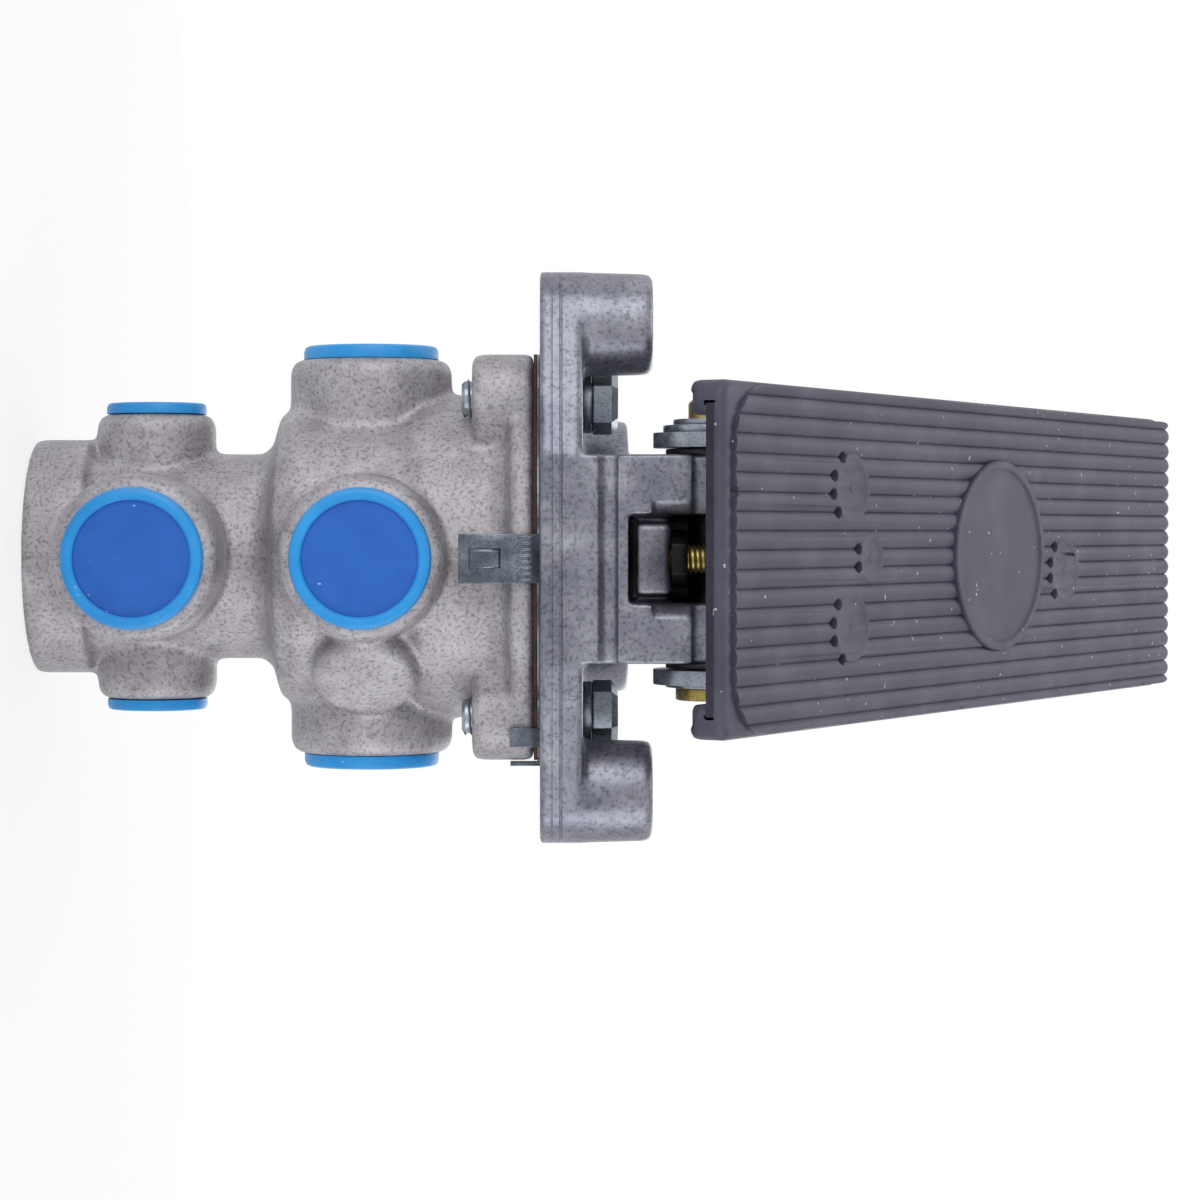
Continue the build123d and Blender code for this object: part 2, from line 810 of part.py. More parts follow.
def make_plunger():
    """The plunger: head, stem and foot, hollow from below."""
    with BuildPart() as plunger:
        with BuildSketch(Plane.XZ):
            with BuildLine():
                Polyline(
                    (0, plunger_top),
                    (plunger_head_radius - plunger_head_chamfer, plunger_top),
                    (plunger_head_radius, plunger_top - plunger_head_chamfer),
                    (plunger_head_radius, plunger_head_bottom),
                    (plunger_radius, plunger_head_bottom),
                    (plunger_radius, foot_top),
                    (foot_radius, foot_top),
                    (foot_radius, foot_bottom),
                    (plunger_bore_radius, foot_bottom),
                    (plunger_bore_radius, foot_bottom + plunger_bore_depth),
                    (0, foot_bottom + plunger_bore_depth + plunger_bore_radius / 2),
                    close=True,
                )
            make_face()
        revolve(axis=Axis.Z)
    return plunger


def make_primary_piston():
    """The primary piston: spring cup above, skirt below and a hollow stem with the exhaust seat."""
    skirt_radius = piston_bore_radius - free_gap
    stem_bottom = valve_seat_level + valve_lead
    groove_top = piston_floor
    groove_bottom = groove_top - seal_height - 2 * running_gap
    groove_radius = piston_bore_radius - seal_depth
    return turned([
        (stem_bore_radius, piston_floor),
        (piston_cup_radius, piston_floor),
        (piston_cup_radius, piston_top),
        (skirt_radius, piston_top),
        (skirt_radius, groove_top),
        (groove_radius, groove_top),
        (groove_radius, groove_bottom),
        (skirt_radius, groove_bottom),
        (skirt_radius, piston_bottom),
        (piston_cup_radius, piston_bottom),
        (piston_cup_radius, piston_web_bottom),
        (stem_radius, piston_web_bottom),
        (stem_radius, stem_bottom),
        (stem_bore_radius, stem_bottom),
    ])


def make_valve_carrier():
    """The insert that holds the primary valve: seat on top, cross holes to the supply."""
    outside = relay_bore_radius - free_gap
    hole_level = carrier_bottom + carrier_hole_rise
    carrier = turned([
        (seat_radius, carrier_top),
        (outside, carrier_top),
        (outside, carrier_bottom),
        (carrier_bore_radius, carrier_bottom),
        (carrier_bore_radius, valve_seat_level),
        (seat_radius, valve_seat_level),
    ])
    with BuildPart() as drilled:
        add(carrier.part)
        for hole in range(carrier_hole_count):
            angle = hole * 360 / carrier_hole_count
            with BuildSketch(facing(angle, outside + outer_overrun, hole_level)):
                Circle(carrier_hole_radius)
            extrude(amount=carrier_bore_radius - outside - 2 * outer_overrun, mode=Mode.SUBTRACT)
    return drilled


def make_inlet_valve(seat_level, tail_level):
    """An inlet valve: a disc under its rubber face, with a hollow tail."""
    disc_top = seat_level - valve_face_thickness
    return turned([
        (stem_bore_radius, disc_top),
        (valve_disc_radius, disc_top),
        (valve_disc_radius, disc_top - valve_disc_thickness),
        (stem_radius, disc_top - valve_disc_thickness),
        (stem_radius, tail_level),
        (stem_bore_radius, tail_level),
    ])


def make_relay_piston():
    """The relay piston: a grooved disc, recessed below, with a long hollow stem."""
    outside = relay_bore_radius - free_gap
    groove_radius = relay_bore_radius - seal_depth
    groove_top = relay_top - seal_height / 2
    groove_bottom = groove_top - seal_height - 2 * running_gap
    stem_bottom = outlet_bore_bottom - seat_web + valve_lead
    return turned([
        (stem_bore_radius, relay_top),
        (outside, relay_top),
        (outside, groove_top),
        (groove_radius, groove_top),
        (groove_radius, groove_bottom),
        (outside, groove_bottom),
        (outside, relay_bottom),
        (piston_cup_radius, relay_bottom),
        (piston_cup_radius, relay_top - seal_height / 2),
        (stem_radius - stem_step, relay_top - seal_height / 2),
        (stem_radius - stem_step, stem_bottom),
        (stem_bore_radius, stem_bottom),
    ])


def make_retaining_ring(bore, level):
    """An open ring that snaps into a groove of its bore."""
    with BuildPart() as piece:
        with BuildSketch(Plane.XY.offset(level)):
            Circle(bore + ring_groove - free_gap)
            Circle(bore - ring_width, mode=Mode.SUBTRACT)
            with Locations((0, bore)):
                Rectangle(ring_opening, bore, mode=Mode.SUBTRACT)
        extrude(amount=-ring_thickness)
    return piece


def make_exhaust_plate():
    """The holed plate that covers the exhaust and carries the flap."""
    with BuildPart() as plate:
        with BuildSketch(Plane.XY.offset(exhaust_bore_top)):
            Circle(exhaust_bore_radius - free_gap)
            Circle(flap_stud_radius + running_gap, mode=Mode.SUBTRACT)
            with PolarLocations(flap_radius - 2 * exhaust_hole_radius, exhaust_hole_count):
                Circle(exhaust_hole_radius, mode=Mode.SUBTRACT)
        extrude(amount=-exhaust_plate_thickness)
    return plate


def make_exhaust_flap():
    """The rubber flap under the plate, with the stud and button that hold it."""
    plate_bottom = exhaust_bore_top - exhaust_plate_thickness
    return turned([
        (0, exhaust_bore_top + flap_thickness),
        (flap_button_radius, exhaust_bore_top + running_gap),
        (flap_stud_radius, exhaust_bore_top + running_gap),
        (flap_stud_radius, plate_bottom),
        (flap_radius, plate_bottom),
        (flap_radius, plate_bottom - flap_thickness / 2),
        (flap_button_radius, plate_bottom - flap_thickness),
        (0, plate_bottom - 2 * flap_thickness),
    ])


def make_treadle_lever():
    """The pressed lever: a flat tread with two flanges that widen into the hinge ears."""
    with BuildPart() as lever:
        with BuildSketch(treadle_face.offset(lever_rise)):
            add(lever_outline(lever_heel, lever_toe, lever_heel_width, lever_toe_width,
                              lever_corner, lever_corner))
        extrude(amount=lever_thickness)
        for start in (-ear_outer, ear_inner):
            with BuildSketch(treadle_side.offset(start)):
                Circle(ear_radius)
                with Locations((ear_flange_length, lever_rise)):
                    Circle(ear_thickness)
                with Locations((lever_heel / 2, lever_rise)):
                    Circle(ear_thickness)
                make_hull()
                with Locations((0, lever_rise + lever_thickness / 2)):
                    Rectangle(trim_reach, trim_reach, align=(Align.CENTER, Align.MIN),
                              mode=Mode.SUBTRACT)
            extrude(amount=ear_thickness)
        with BuildSketch(treadle_side):
            Circle(hinge_pin_radius + running_gap)
        extrude(amount=2 * ear_outer, both=True, mode=Mode.SUBTRACT)
    return lever


def make_treadle_pad():
    """The rubber pad: ribbed tread that wraps round the lever's edges, with a wing at each heel corner."""
    groove_length = pad_toe - rib_start + outer_overrun
    lip_bottom = pad_top - heel_lip_depth
    with BuildPart() as pad:
        with BuildSketch(treadle_face.offset(lever_rise - pad_lip)):
            add(lever_outline(pad_heel, pad_toe, pad_heel_width, pad_toe_width,
                              pad_heel_corner, pad_toe_corner))
        extrude(amount=pad_top - lever_rise + pad_lip)
        with BuildSketch(treadle_face.offset(lever_rise)):
            add(lever_outline(lever_heel, lever_toe, lever_heel_width, lever_toe_width,
                              lever_corner, lever_corner))
        extrude(amount=lever_thickness, mode=Mode.SUBTRACT)
        with BuildSketch(treadle_face.offset(lever_rise - pad_lip)):
            add(lever_outline(pad_heel, lever_toe - pad_lip_width, lever_heel_width - 2 * pad_lip_width,
                              lever_toe_width - 2 * pad_lip_width, pad_opening_corner, lever_corner))
        extrude(amount=pad_lip, mode=Mode.SUBTRACT)
        with BuildSketch(treadle_side):
            with Locations((pad_heel, lip_bottom)):
                Rectangle(lever_heel - pad_heel, pad_thickness, align=(Align.MIN, Align.MAX))
        extrude(amount=pad_heel_width / 2 - heel_wing_width, both=True, mode=Mode.SUBTRACT)
        with BuildSketch(treadle_side):
            with BuildLine():
                Polyline(
                    (pad_heel, lever_rise - pad_lip + heel_wing_slope),
                    (pad_heel, lever_rise - pad_lip),
                    (pad_heel + heel_wing_slope, lever_rise - pad_lip),
                    close=True,
                )
            make_face()
        extrude(amount=pad_heel_width / 2, both=True, mode=Mode.SUBTRACT)
        with BuildSketch(treadle_face.offset(lever_rise - pad_lip)):
            Rectangle(lever_heel_width, 2 * (pin_washer_radius + washer_notch_gap))
        extrude(amount=pad_lip, mode=Mode.SUBTRACT)
        with BuildSketch(treadle_face.offset(pad_top)):
            with Locations((0, rib_start + groove_length / 2)):
                with GridLocations(rib_pitch, groove_length, rib_count - 1, 1):
                    Rectangle(rib_groove_width, groove_length)
        extrude(amount=-rib_groove_depth, mode=Mode.SUBTRACT)
        with BuildSketch(treadle_face.offset(pad_underside)):
            with Locations((0, medallion_place)):
                Circle(medallion_radius)
        extrude(amount=pad_thickness + medallion_rise)
        with BuildSketch(treadle_face.offset(pad_underside)):
            for across, along, radius in tread_discs:
                with Locations((across, along)):
                    Circle(radius)
        extrude(amount=pad_thickness)
    return pad


def roller_plane(offset):
    """A plane square to the roller's axis, centred on it."""
    centre = treadle_side.from_local_coords((roller_reach, roller_offset, 0))
    return Plane(origin=centre, x_dir=treadle_side.x_dir, z_dir=(1, 0, 0)).offset(offset)


def make_roller_bracket():
    """The channel under the lever whose cheeks carry the roller pin."""
    web_top = lever_rise - roller_offset
    cheek_inner = roller_width / 2 + free_gap
    cheek_outer = cheek_inner + cheek_thickness
    with BuildPart() as bracket:
        with BuildSketch(roller_plane(-cheek_outer)):
            with Locations((0, web_top - bracket_web / 2)):
                Rectangle(bracket_length, bracket_web)
        extrude(amount=2 * cheek_outer)
        for start in (-cheek_outer, cheek_inner):
            with BuildSketch(roller_plane(start)):
                Circle(cheek_radius)
                with Locations((0, web_top - bracket_web / 2)):
                    Rectangle(bracket_length, bracket_web)
                make_hull()
            extrude(amount=cheek_thickness)
        with BuildSketch(roller_plane(0)):
            Circle(roller_pin_radius + running_gap)
        extrude(amount=2 * cheek_outer, both=True, mode=Mode.SUBTRACT)
    return bracket


def roller_part(outer, inner, start, length):
    """A round piece on the roller's axis, with a hole where inner is more than zero."""
    with BuildPart() as piece:
        with BuildSketch(roller_plane(start)):
            Circle(outer)
            if inner > 0:
                Circle(inner, mode=Mode.SUBTRACT)
        extrude(amount=length)
    return piece


os.makedirs("parts", exist_ok=True)

save(make_valve_body(), "valve_body")
for name, (angle, level, radius, face, large) in ports.items():
    save(make_port_plug(angle, level, face, large), name)
save(make_flange_gasket(), "flange_gasket")
save(make_tab_plate(), "tab_plate")
save(make_mounting_base(), "mounting_base")
save(make_bolts(), "body_bolts")
save(make_bolt_washers(), "bolt_washers")

# Hinge
save(make_hinge_pin(), "hinge_pin")
save(hinge_rings(spacer_radius, hinge_pin_radius + running_gap,
                 (-pedestal_width / 2 - spacer_thickness, pedestal_width / 2), spacer_thickness),
     "pin_spacers")
save(hinge_rings(pin_washer_radius, hinge_pin_radius + running_gap,
                 (-ear_outer - pin_washer_thickness,), pin_washer_thickness), "pin_washer")
save(hinge_rings(retainer_radius, hinge_pin_radius + running_gap,
                 (-ear_outer - pin_washer_thickness - retainer_thickness,), retainer_thickness),
     "pin_retainer")
save(hinge_rings(spacer_radius, hinge_pin_radius + running_gap, (ear_outer,), head_washer_thickness),
     "head_washer")
save(make_stop_screw(), "stop_screw")
save(make_screw_nut(), "stop_screw_nut")

# Plunger group
bush_outer = plunger_radius + running_gap + bush_wall
save(ring(bush_outer, plunger_radius + running_gap, cavity_top, boss_top + bush_collar), "plunger_bush")
save(make_boot(), "plunger_boot")
save(make_plunger(), "plunger")
save(ring(foot_radius, plunger_bore_radius, foot_bottom - seat_thickness, foot_bottom), "spring_seat")
save(coil(graduating_coil_radius, graduating_wire, graduating_turns, piston_floor,
          foot_bottom - seat_thickness), "graduating_spring")

# Primary circuit
seal_top = piston_floor - running_gap
save(make_primary_piston(), "primary_piston")
save(ring(piston_bore_radius - running_gap, piston_bore_radius - seal_depth, seal_top - seal_height,
          seal_top), "primary_piston_seal")
save(coil(piston_cup_radius - 2 * heavy_wire, heavy_wire, piston_spring_turns, carrier_top,
          piston_web_bottom), "piston_return_spring")
save(make_valve_carrier(), "primary_valve_carrier")
guide_bottom = carrier_bottom - guide_thickness
save(make_inlet_valve(valve_seat_level, guide_bottom - running_gap), "primary_inlet_valve")
save(ring(valve_disc_radius, stem_bore_radius, valve_seat_level - valve_face_thickness, valve_seat_level),
     "primary_valve_face")
save(ring(relay_bore_radius - free_gap, stem_radius + running_gap, guide_bottom, carrier_bottom),
     "primary_valve_guide")
save(coil(stem_radius + 1.5 * light_wire, light_wire, valve_spring_turns, carrier_bottom,
          valve_seat_level - valve_face_thickness - valve_disc_thickness), "primary_valve_spring")

# Secondary circuit
relay_seal_top = relay_top - seal_height / 2 - running_gap
save(make_relay_piston(), "relay_piston")
save(ring(relay_bore_radius - running_gap, relay_bore_radius - seal_depth,
          relay_seal_top - seal_height, relay_seal_top), "relay_piston_seal")
save(coil(piston_cup_radius - 1.5 * light_wire, light_wire, relay_spring_turns, relay_bore_bottom,
          relay_top - seal_height / 2), "relay_return_spring")
save(make_inlet_valve(inlet_bore_top, exhaust_guide_bottom - running_gap), "secondary_inlet_valve")
save(ring(valve_disc_radius, stem_bore_radius, inlet_bore_top - valve_face_thickness, inlet_bore_top),
     "secondary_valve_face")
save(coil(stem_radius + 1.5 * light_wire, light_wire, secondary_spring_turns, exhaust_guide_top,
          inlet_bore_top - valve_face_thickness - valve_disc_thickness), "secondary_valve_spring")
save(ring(inlet_bore_radius - free_gap, stem_radius + running_gap, exhaust_guide_bottom, exhaust_guide_top),
     "exhaust_guide")
save(make_retaining_ring(inlet_bore_radius, exhaust_guide_bottom), "guide_retaining_ring")
save(make_exhaust_plate(), "exhaust_plate")
save(make_exhaust_flap(), "exhaust_flap")
save(make_retaining_ring(exhaust_bore_radius, flap_ring_top), "exhaust_retaining_ring")

# Treadle
save(make_treadle_lever(), "treadle_lever")
save(make_treadle_pad(), "treadle_pad")
save(make_roller_bracket(), "roller_bracket")
cheek_outer = roller_width / 2 + free_gap + cheek_thickness
pin_half = cheek_outer + roller_clip_thickness + roller_pin_end
save(roller_part(roller_pin_radius, 0, -pin_half, 2 * pin_half), "roller_pin")
with BuildPart() as clips:
    add(roller_part(roller_clip_radius, roller_pin_radius + running_gap, cheek_outer,
                    roller_clip_thickness))
    add(roller_part(roller_clip_radius, roller_pin_radius + running_gap,
                    -cheek_outer - roller_clip_thickness, roller_clip_thickness))
save(clips, "roller_clips")
save(roller_part(roller_radius, roller_pin_radius + running_gap, -roller_width / 2, roller_width), "roller")
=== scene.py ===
# %% [markdown]
# # A foot brake valve in Blender
# A foot brake valve feeds air to the two brake circuits of a truck. The driver's treadle presses
# a plunger, and two pistons in the cast body open their inlet valves.
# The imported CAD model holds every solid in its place. This lesson loads it as a fixed frame, and
# gives each visible piece its real shape and finish.

# %% Load the frame
import json
from math import cos, hypot, pi, radians, sin, sqrt, tau

import bmesh
import bpy
from mathutils import Matrix, Vector

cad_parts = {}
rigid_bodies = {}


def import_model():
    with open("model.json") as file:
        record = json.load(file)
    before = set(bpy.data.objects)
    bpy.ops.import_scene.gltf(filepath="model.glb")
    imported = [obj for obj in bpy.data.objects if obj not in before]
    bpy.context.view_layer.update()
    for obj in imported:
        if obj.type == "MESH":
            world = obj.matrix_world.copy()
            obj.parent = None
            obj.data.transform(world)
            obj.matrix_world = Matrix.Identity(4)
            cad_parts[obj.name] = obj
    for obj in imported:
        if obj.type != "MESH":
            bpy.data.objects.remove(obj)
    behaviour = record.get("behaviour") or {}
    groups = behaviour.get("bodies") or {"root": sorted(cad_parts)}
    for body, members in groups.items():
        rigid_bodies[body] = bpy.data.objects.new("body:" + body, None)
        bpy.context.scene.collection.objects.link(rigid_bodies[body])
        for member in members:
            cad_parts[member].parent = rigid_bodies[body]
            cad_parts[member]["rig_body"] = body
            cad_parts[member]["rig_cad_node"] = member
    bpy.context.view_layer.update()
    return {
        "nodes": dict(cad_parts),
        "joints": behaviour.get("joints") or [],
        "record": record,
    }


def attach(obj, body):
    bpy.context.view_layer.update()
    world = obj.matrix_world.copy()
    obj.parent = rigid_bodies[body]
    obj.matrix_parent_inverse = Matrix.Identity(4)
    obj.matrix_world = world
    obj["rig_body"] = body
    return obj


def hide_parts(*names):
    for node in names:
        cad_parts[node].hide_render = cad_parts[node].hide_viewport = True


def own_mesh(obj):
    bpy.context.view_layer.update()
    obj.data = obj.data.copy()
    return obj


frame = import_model()
mm = 0.001

# %% [markdown]
# ## The camera
# The camera comes first, because every later choice is judged through it. It looks along +Y at the
# driver's side of the valve, and is turned so that the valve's axis lies level with the treadle on
# the right. A long lens from 0.7 m keeps the round ports nearly round.

# %% Camera
camera_place = Vector((-7.6, -701.0, -19.4)) * mm
camera_aim = Vector((9.2, 0.0, -10.0)) * mm
camera_roll = radians(0.0)

look = (camera_aim - camera_place).normalized()
level_right = (Vector((0, 0, 1)) - look * look.z).normalized()
level_up = (-look).cross(level_right)
right = level_right * cos(camera_roll) + level_up * sin(camera_roll)
up = (-look).cross(right)
turn = Matrix((right, up, -look)).transposed().to_euler()

bpy.ops.object.camera_add(location=camera_place, rotation=turn)
camera = bpy.context.object
camera.name = "photo_camera"
camera.data.lens = 99.9
camera.data.sensor_width = 36.0
bpy.context.scene.camera = camera
print("camera looks along", [round(v, 3) for v in look])

# %% [markdown]
# ## Materials
# Each material is a small tree of shader nodes. One function adds a node with its settings and its
# links, and one turns a colour written as on a paint chart into the linear light Blender works in.

# %% Material helpers
def colour(code):
    """A colour written as six hex digits, as linear light with full cover."""
    channels = [int(code[i:i + 2], 16) / 255 for i in (1, 3, 5)]
    return [c / 12.92 if c <= 0.04045 else ((c + 0.055) / 1.055) ** 2.4 for c in channels] + [1.0]


def add_node(tree, kind, inputs=None, **settings):
    """Add one shader node; inputs holds a socket to link from, or a plain value, for each input."""
    node = tree.nodes.new(kind)
    for key, value in settings.items():
        setattr(node, key, value)
    for key, value in (inputs or {}).items():
        if isinstance(value, bpy.types.NodeSocket):
            tree.links.new(value, node.inputs[key])
        else:
            node.inputs[key].default_value = value
    return node


def new_material(name):
    """A named material with an empty tree, its shader and its object coordinates."""
    material = bpy.data.materials.new(name)
    material.use_nodes = True
    tree = material.node_tree
    shader = tree.nodes["Principled BSDF"]
    place = add_node(tree, "ShaderNodeTexCoord").outputs["Object"]
    return material, tree, shader, place


def noise(tree, place, size_mm, detail=3.0, roughness=0.6):
    """Noise whose blotches are about size_mm across."""
    return add_node(tree, "ShaderNodeTexNoise",
                    {"Vector": place, "Scale": 1000.0 / size_mm, "Detail": detail,
                     "Roughness": roughness}).outputs["Fac"]


def ramp(tree, value, stops):
    """A colour ramp from (place, hex) stops."""
    node = add_node(tree, "ShaderNodeValToRGB", {"Fac": value})
    node.color_ramp.elements[0].position, node.color_ramp.elements[0].color = stops[0][0], colour(stops[0][1])
    node.color_ramp.elements[1].position, node.color_ramp.elements[1].color = stops[-1][0], colour(stops[-1][1])
    for position, code in stops[1:-1]:
        node.color_ramp.elements.new(position).color = colour(code)
    return node.outputs["Color"]


def bump(tree, height, depth_mm, strength=1.0, under=None):
    """A bump of the given real depth, on top of another bump where one is given."""
    inputs = {"Height": height, "Distance": depth_mm * mm, "Strength": strength}
    if under is not None:
        inputs["Normal"] = under
    return add_node(tree, "ShaderNodeBump", inputs).outputs["Normal"]


def remap(tree, value, low, high, start=0.0, end=1.0):
    """The value stretched from the range low..high to start..end."""
    return add_node(tree, "ShaderNodeMapRange",
                    {"Value": value, "From Min": low, "From Max": high,
                     "To Min": start, "To Max": end}).outputs["Result"]


# %% [markdown]
# ### Cast and machined metals
# The valve body is cast aluminium, blasted after casting: a matte, fine-grained pale grey with soft
# clouds. The base is die cast in a polished tool, so it is smoother, shinier and streaked by the
# flow of the metal.

# %% Cast metals
def darkened(tree, place, surface, centre, near_mm, far_mm, code):
    """The surface colour, darkened towards a centre in mm: painted shade."""
    away = add_node(tree, "ShaderNodeVectorMath", {0: place, 1: Vector(centre) * mm}, operation="DISTANCE")
    share = remap(tree, away.outputs["Value"], near_mm * mm, far_mm * mm, 1.0, 0.0)
    return add_node(tree, "ShaderNodeMix", {0: share, 6: surface, 7: colour(code)}, data_type="RGBA").outputs[2]


def seam(tree, place, axis, level_mm, half_mm):
    """A value of 1 along the plane where an object coordinate has one level, fading to 0 beside it."""
    part = add_node(tree, "ShaderNodeSeparateXYZ", {0: place}).outputs[axis]
    offset = add_node(tree, "ShaderNodeMath", {0: part, 1: level_mm * mm}, operation="SUBTRACT")
    away = add_node(tree, "ShaderNodeMath", {0: offset.outputs[0]}, operation="ABSOLUTE")
    return remap(tree, away.outputs[0], 0.3 * half_mm * mm, half_mm * mm, 1.0, 0.0)


def cast_metal(name, stops, cloud_mm, grain_mm, grain_depth_mm, rough_low, rough_high, metallic,
               seam_lines=(), shade_spot=None):
    """Cast metal: clouds of colour, a fine grain, a roughness that varies, raised seam lines, and painted shade round a
    point where one is given.
    """
    material, tree, shader, place = new_material(name)
    clouds = noise(tree, place, cloud_mm, 5.0, 0.65)
    grain = noise(tree, place, grain_mm, 3.0, 0.7)
    surface = ramp(tree, clouds, stops)
    flecks = ramp(tree, grain, [(0.36, "#7A7A80"), (0.5, "#FFFFFF"), (1.0, "#FFFFFF")])
    surface = add_node(tree, "ShaderNodeMix", {0: 0.55, 6: surface, 7: flecks}, data_type="RGBA",
                       blend_type="MULTIPLY").outputs[2]
    # Painted shade: the colour darkens towards a point where shade falls.
    if shade_spot:
        surface = darkened(tree, place, surface, *shade_spot)
    tree.links.new(surface, shader.inputs["Base Color"])
    tree.links.new(remap(tree, clouds, 0.3, 0.7, rough_low, rough_high), shader.inputs["Roughness"])
    relief = bump(tree, grain, grain_depth_mm)
    for axis, level_mm, half_mm, height_mm in seam_lines:
        relief = bump(tree, seam(tree, place, axis, level_mm, half_mm), height_mm, 1.0, relief)
    tree.links.new(relief, shader.inputs["Normal"])
    shader.inputs["Metallic"].default_value = metallic
    return material


# Painted shade: the die-cast base darkens towards the pocket under the treadle's heel, where the pad's shadow falls.
pocket_painted_shade = ((0, -40.0, 5.0), 11.0, 16.0, "#23222A")
cast_aluminium = cast_metal("blasted_cast_aluminium",
                            [(0.3, "#9C989C"), (0.5, "#B0ACB0"), (0.7, "#C6C3C7")], 7.0, 0.75, 0.12, 0.45, 0.62, 0.55,
                            [(0, 0.0, 0.35, 0.25)])
die_cast_aluminium = cast_metal("die_cast_aluminium",
                                [(0.3, "#6C6D7C"), (0.5, "#83848F"), (0.7, "#A0A1AA")], 9.0, 0.9, 0.03, 0.3, 0.48, 0.65,
                                [(2, -18.3, 0.3, 0.22), (2, -20.1, 0.2, 0.1)], pocket_painted_shade)
machined_aluminium = cast_metal("machined_aluminium",
                                [(0.3, "#B0B0B4"), (0.7, "#C4C4C8")], 5.0, 0.3, 0.01, 0.22, 0.34, 1.0)
zinc_steel = cast_metal("zinc_plated_steel",
                        [(0.3, "#7F8892"), (0.5, "#98A0A9"), (0.7, "#B0B6BD")], 4.0, 0.4, 0.01, 0.24, 0.4, 0.85)
dark_zinc_steel = cast_metal("bright_rolled_zinc_steel",
                             [(0.3, "#4C535C"), (0.5, "#646C76"), (0.7, "#8A919A")], 6.0, 0.4, 0.01, 0.15, 0.3, 0.9)
plain_steel = cast_metal("rolled_steel",
                         [(0.3, "#77787A"), (0.7, "#8F9092")], 4.0, 0.3, 0.01, 0.3, 0.45, 1.0)
spring_steel = cast_metal("spring_steel",
                          [(0.3, "#55565A"), (0.7, "#6E7074")], 3.0, 0.3, 0.01, 0.3, 0.45, 1.0)
yellow_zinc = cast_metal("yellow_zinc_plated_steel",
                         [(0.3, "#8A7A45"), (0.5, "#B09C5C"), (0.7, "#B5AD8C")], 3.0, 0.3, 0.01, 0.25, 0.4, 0.85)
# Painted shade: the hinge pin and the stop screw's nut darken towards the pocket under the treadle, where its shadow
# falls.
shaded_yellow_zinc = cast_metal("greased_yellow_zinc",
                                 [(0.3, "#8A7A45"), (0.5, "#B09C5C"), (0.7, "#B5AD8C")], 3.0, 0.3, 0.01, 0.28, 0.45,
                                 0.85, (), ((0, -44.0, 7.0), 16.0, 22.0, "#1B1A1C"))
bronze = cast_metal("sintered_bronze",
                    [(0.3, "#8A6A3E"), (0.7, "#A37F4C")], 3.0, 0.3, 0.02, 0.35, 0.5, 0.9)


# %% [markdown]
# ### Rubber and plastic
# The treadle's rubber is moulded, dark bluish grey and dusty. The port plugs are moulded
# polyethylene, which is waxy and lets a little light in.

# %% Rubber and plastic
def moulded(name, stops, cloud_mm, grain_mm, grain_depth_mm, roughness, ior=1.5, specks=None):
    """Moulded rubber or plastic: soft clouds, a fine grain, one roughness, and specks of dust."""
    material, tree, shader, place = new_material(name)
    grain = noise(tree, place, grain_mm, 3.0, 0.65)
    surface = ramp(tree, noise(tree, place, cloud_mm, 4.0), stops)
    if specks:
        share = remap(tree, noise(tree, place, 1.1, 0.0), specks[0], specks[0] + 0.02)
        surface = add_node(tree, "ShaderNodeMix", {0: share, 6: surface, 7: colour(specks[1])},
                           data_type="RGBA").outputs[2]
    tree.links.new(surface, shader.inputs["Base Color"])
    tree.links.new(bump(tree, grain, grain_depth_mm), shader.inputs["Normal"])
    shader.inputs["Roughness"].default_value = roughness
    shader.inputs["IOR"].default_value = ior
    return material


treadle_rubber = moulded("moulded_treadle_rubber",
                         [(0.3, "#3A3847"), (0.5, "#454354"), (0.7, "#545263")], 14.0, 0.6, 0.06, 0.5, 1.5,
                         (0.83, "#B9B8C4"))
seal_rubber = moulded("seal_rubber", [(0.3, "#17171A"), (0.7, "#232327")], 6.0, 0.4, 0.03, 0.5)
gasket_paper = moulded("gasket_fibre", [(0.3, "#3A2A26"), (0.7, "#5A3F36")], 2.0, 0.3, 0.03, 0.8)
black_plastic = moulded("black_nylon", [(0.3, "#222226"), (0.7, "#2E2E33")], 5.0, 0.4, 0.02, 0.45)
plug_rim_blue = moulded("polyethylene_rim", [(0.3, "#1E98E6"), (0.7, "#2FA8F0")], 7.0, 0.5, 0.02, 0.42, 1.5,
                        (0.86, "#BFE0F5"))
# Painted shade, in part: the sunk face is a deeper blue than the rim for the shade in its recess, and for its thinner
# wall.
plug_face_shaded_blue = moulded("polyethylene_face", [(0.3, "#1662C0"), (0.7, "#1D6CCB")], 7.0, 0.5, 0.02, 0.4, 1.5,
                         (0.84, "#9CC6EC"))

# %% [markdown]
# ### Finishes for the CAD nodes
# A node whose CAD shape is right keeps it, and only gets its material. The record names one slot of
# finish for each node, so one table from slot to material paints them all.

# %% Paint the CAD nodes
slot_finish = {
    "cast_aluminium": cast_aluminium, "die_cast_aluminium": die_cast_aluminium,
    "machined_aluminium": machined_aluminium, "zinc_steel": zinc_steel, "yellow_zinc": yellow_zinc,
    "steel": plain_steel, "spring_steel": spring_steel, "bronze": bronze, "rubber": seal_rubber,
    "treadle_rubber": treadle_rubber, "gasket": gasket_paper, "black_plastic": black_plastic,
    "blue_plastic": plug_rim_blue,
}
painted = 0
for entry in frame["record"]["subparts"]:
    node_mesh = frame["nodes"][entry["node"]].data
    node_mesh.materials.clear()
    node_mesh.materials.append(slot_finish[entry["material_slot"]])
    painted += 1
print("painted nodes:", painted)


# %% [markdown]
# ## Modelling helpers
# Every new piece starts from a primitive, is shaped in edit mode, and is finished with modifiers
# that are applied at once. Its place is then baked into its mesh, so its object sits at the origin.

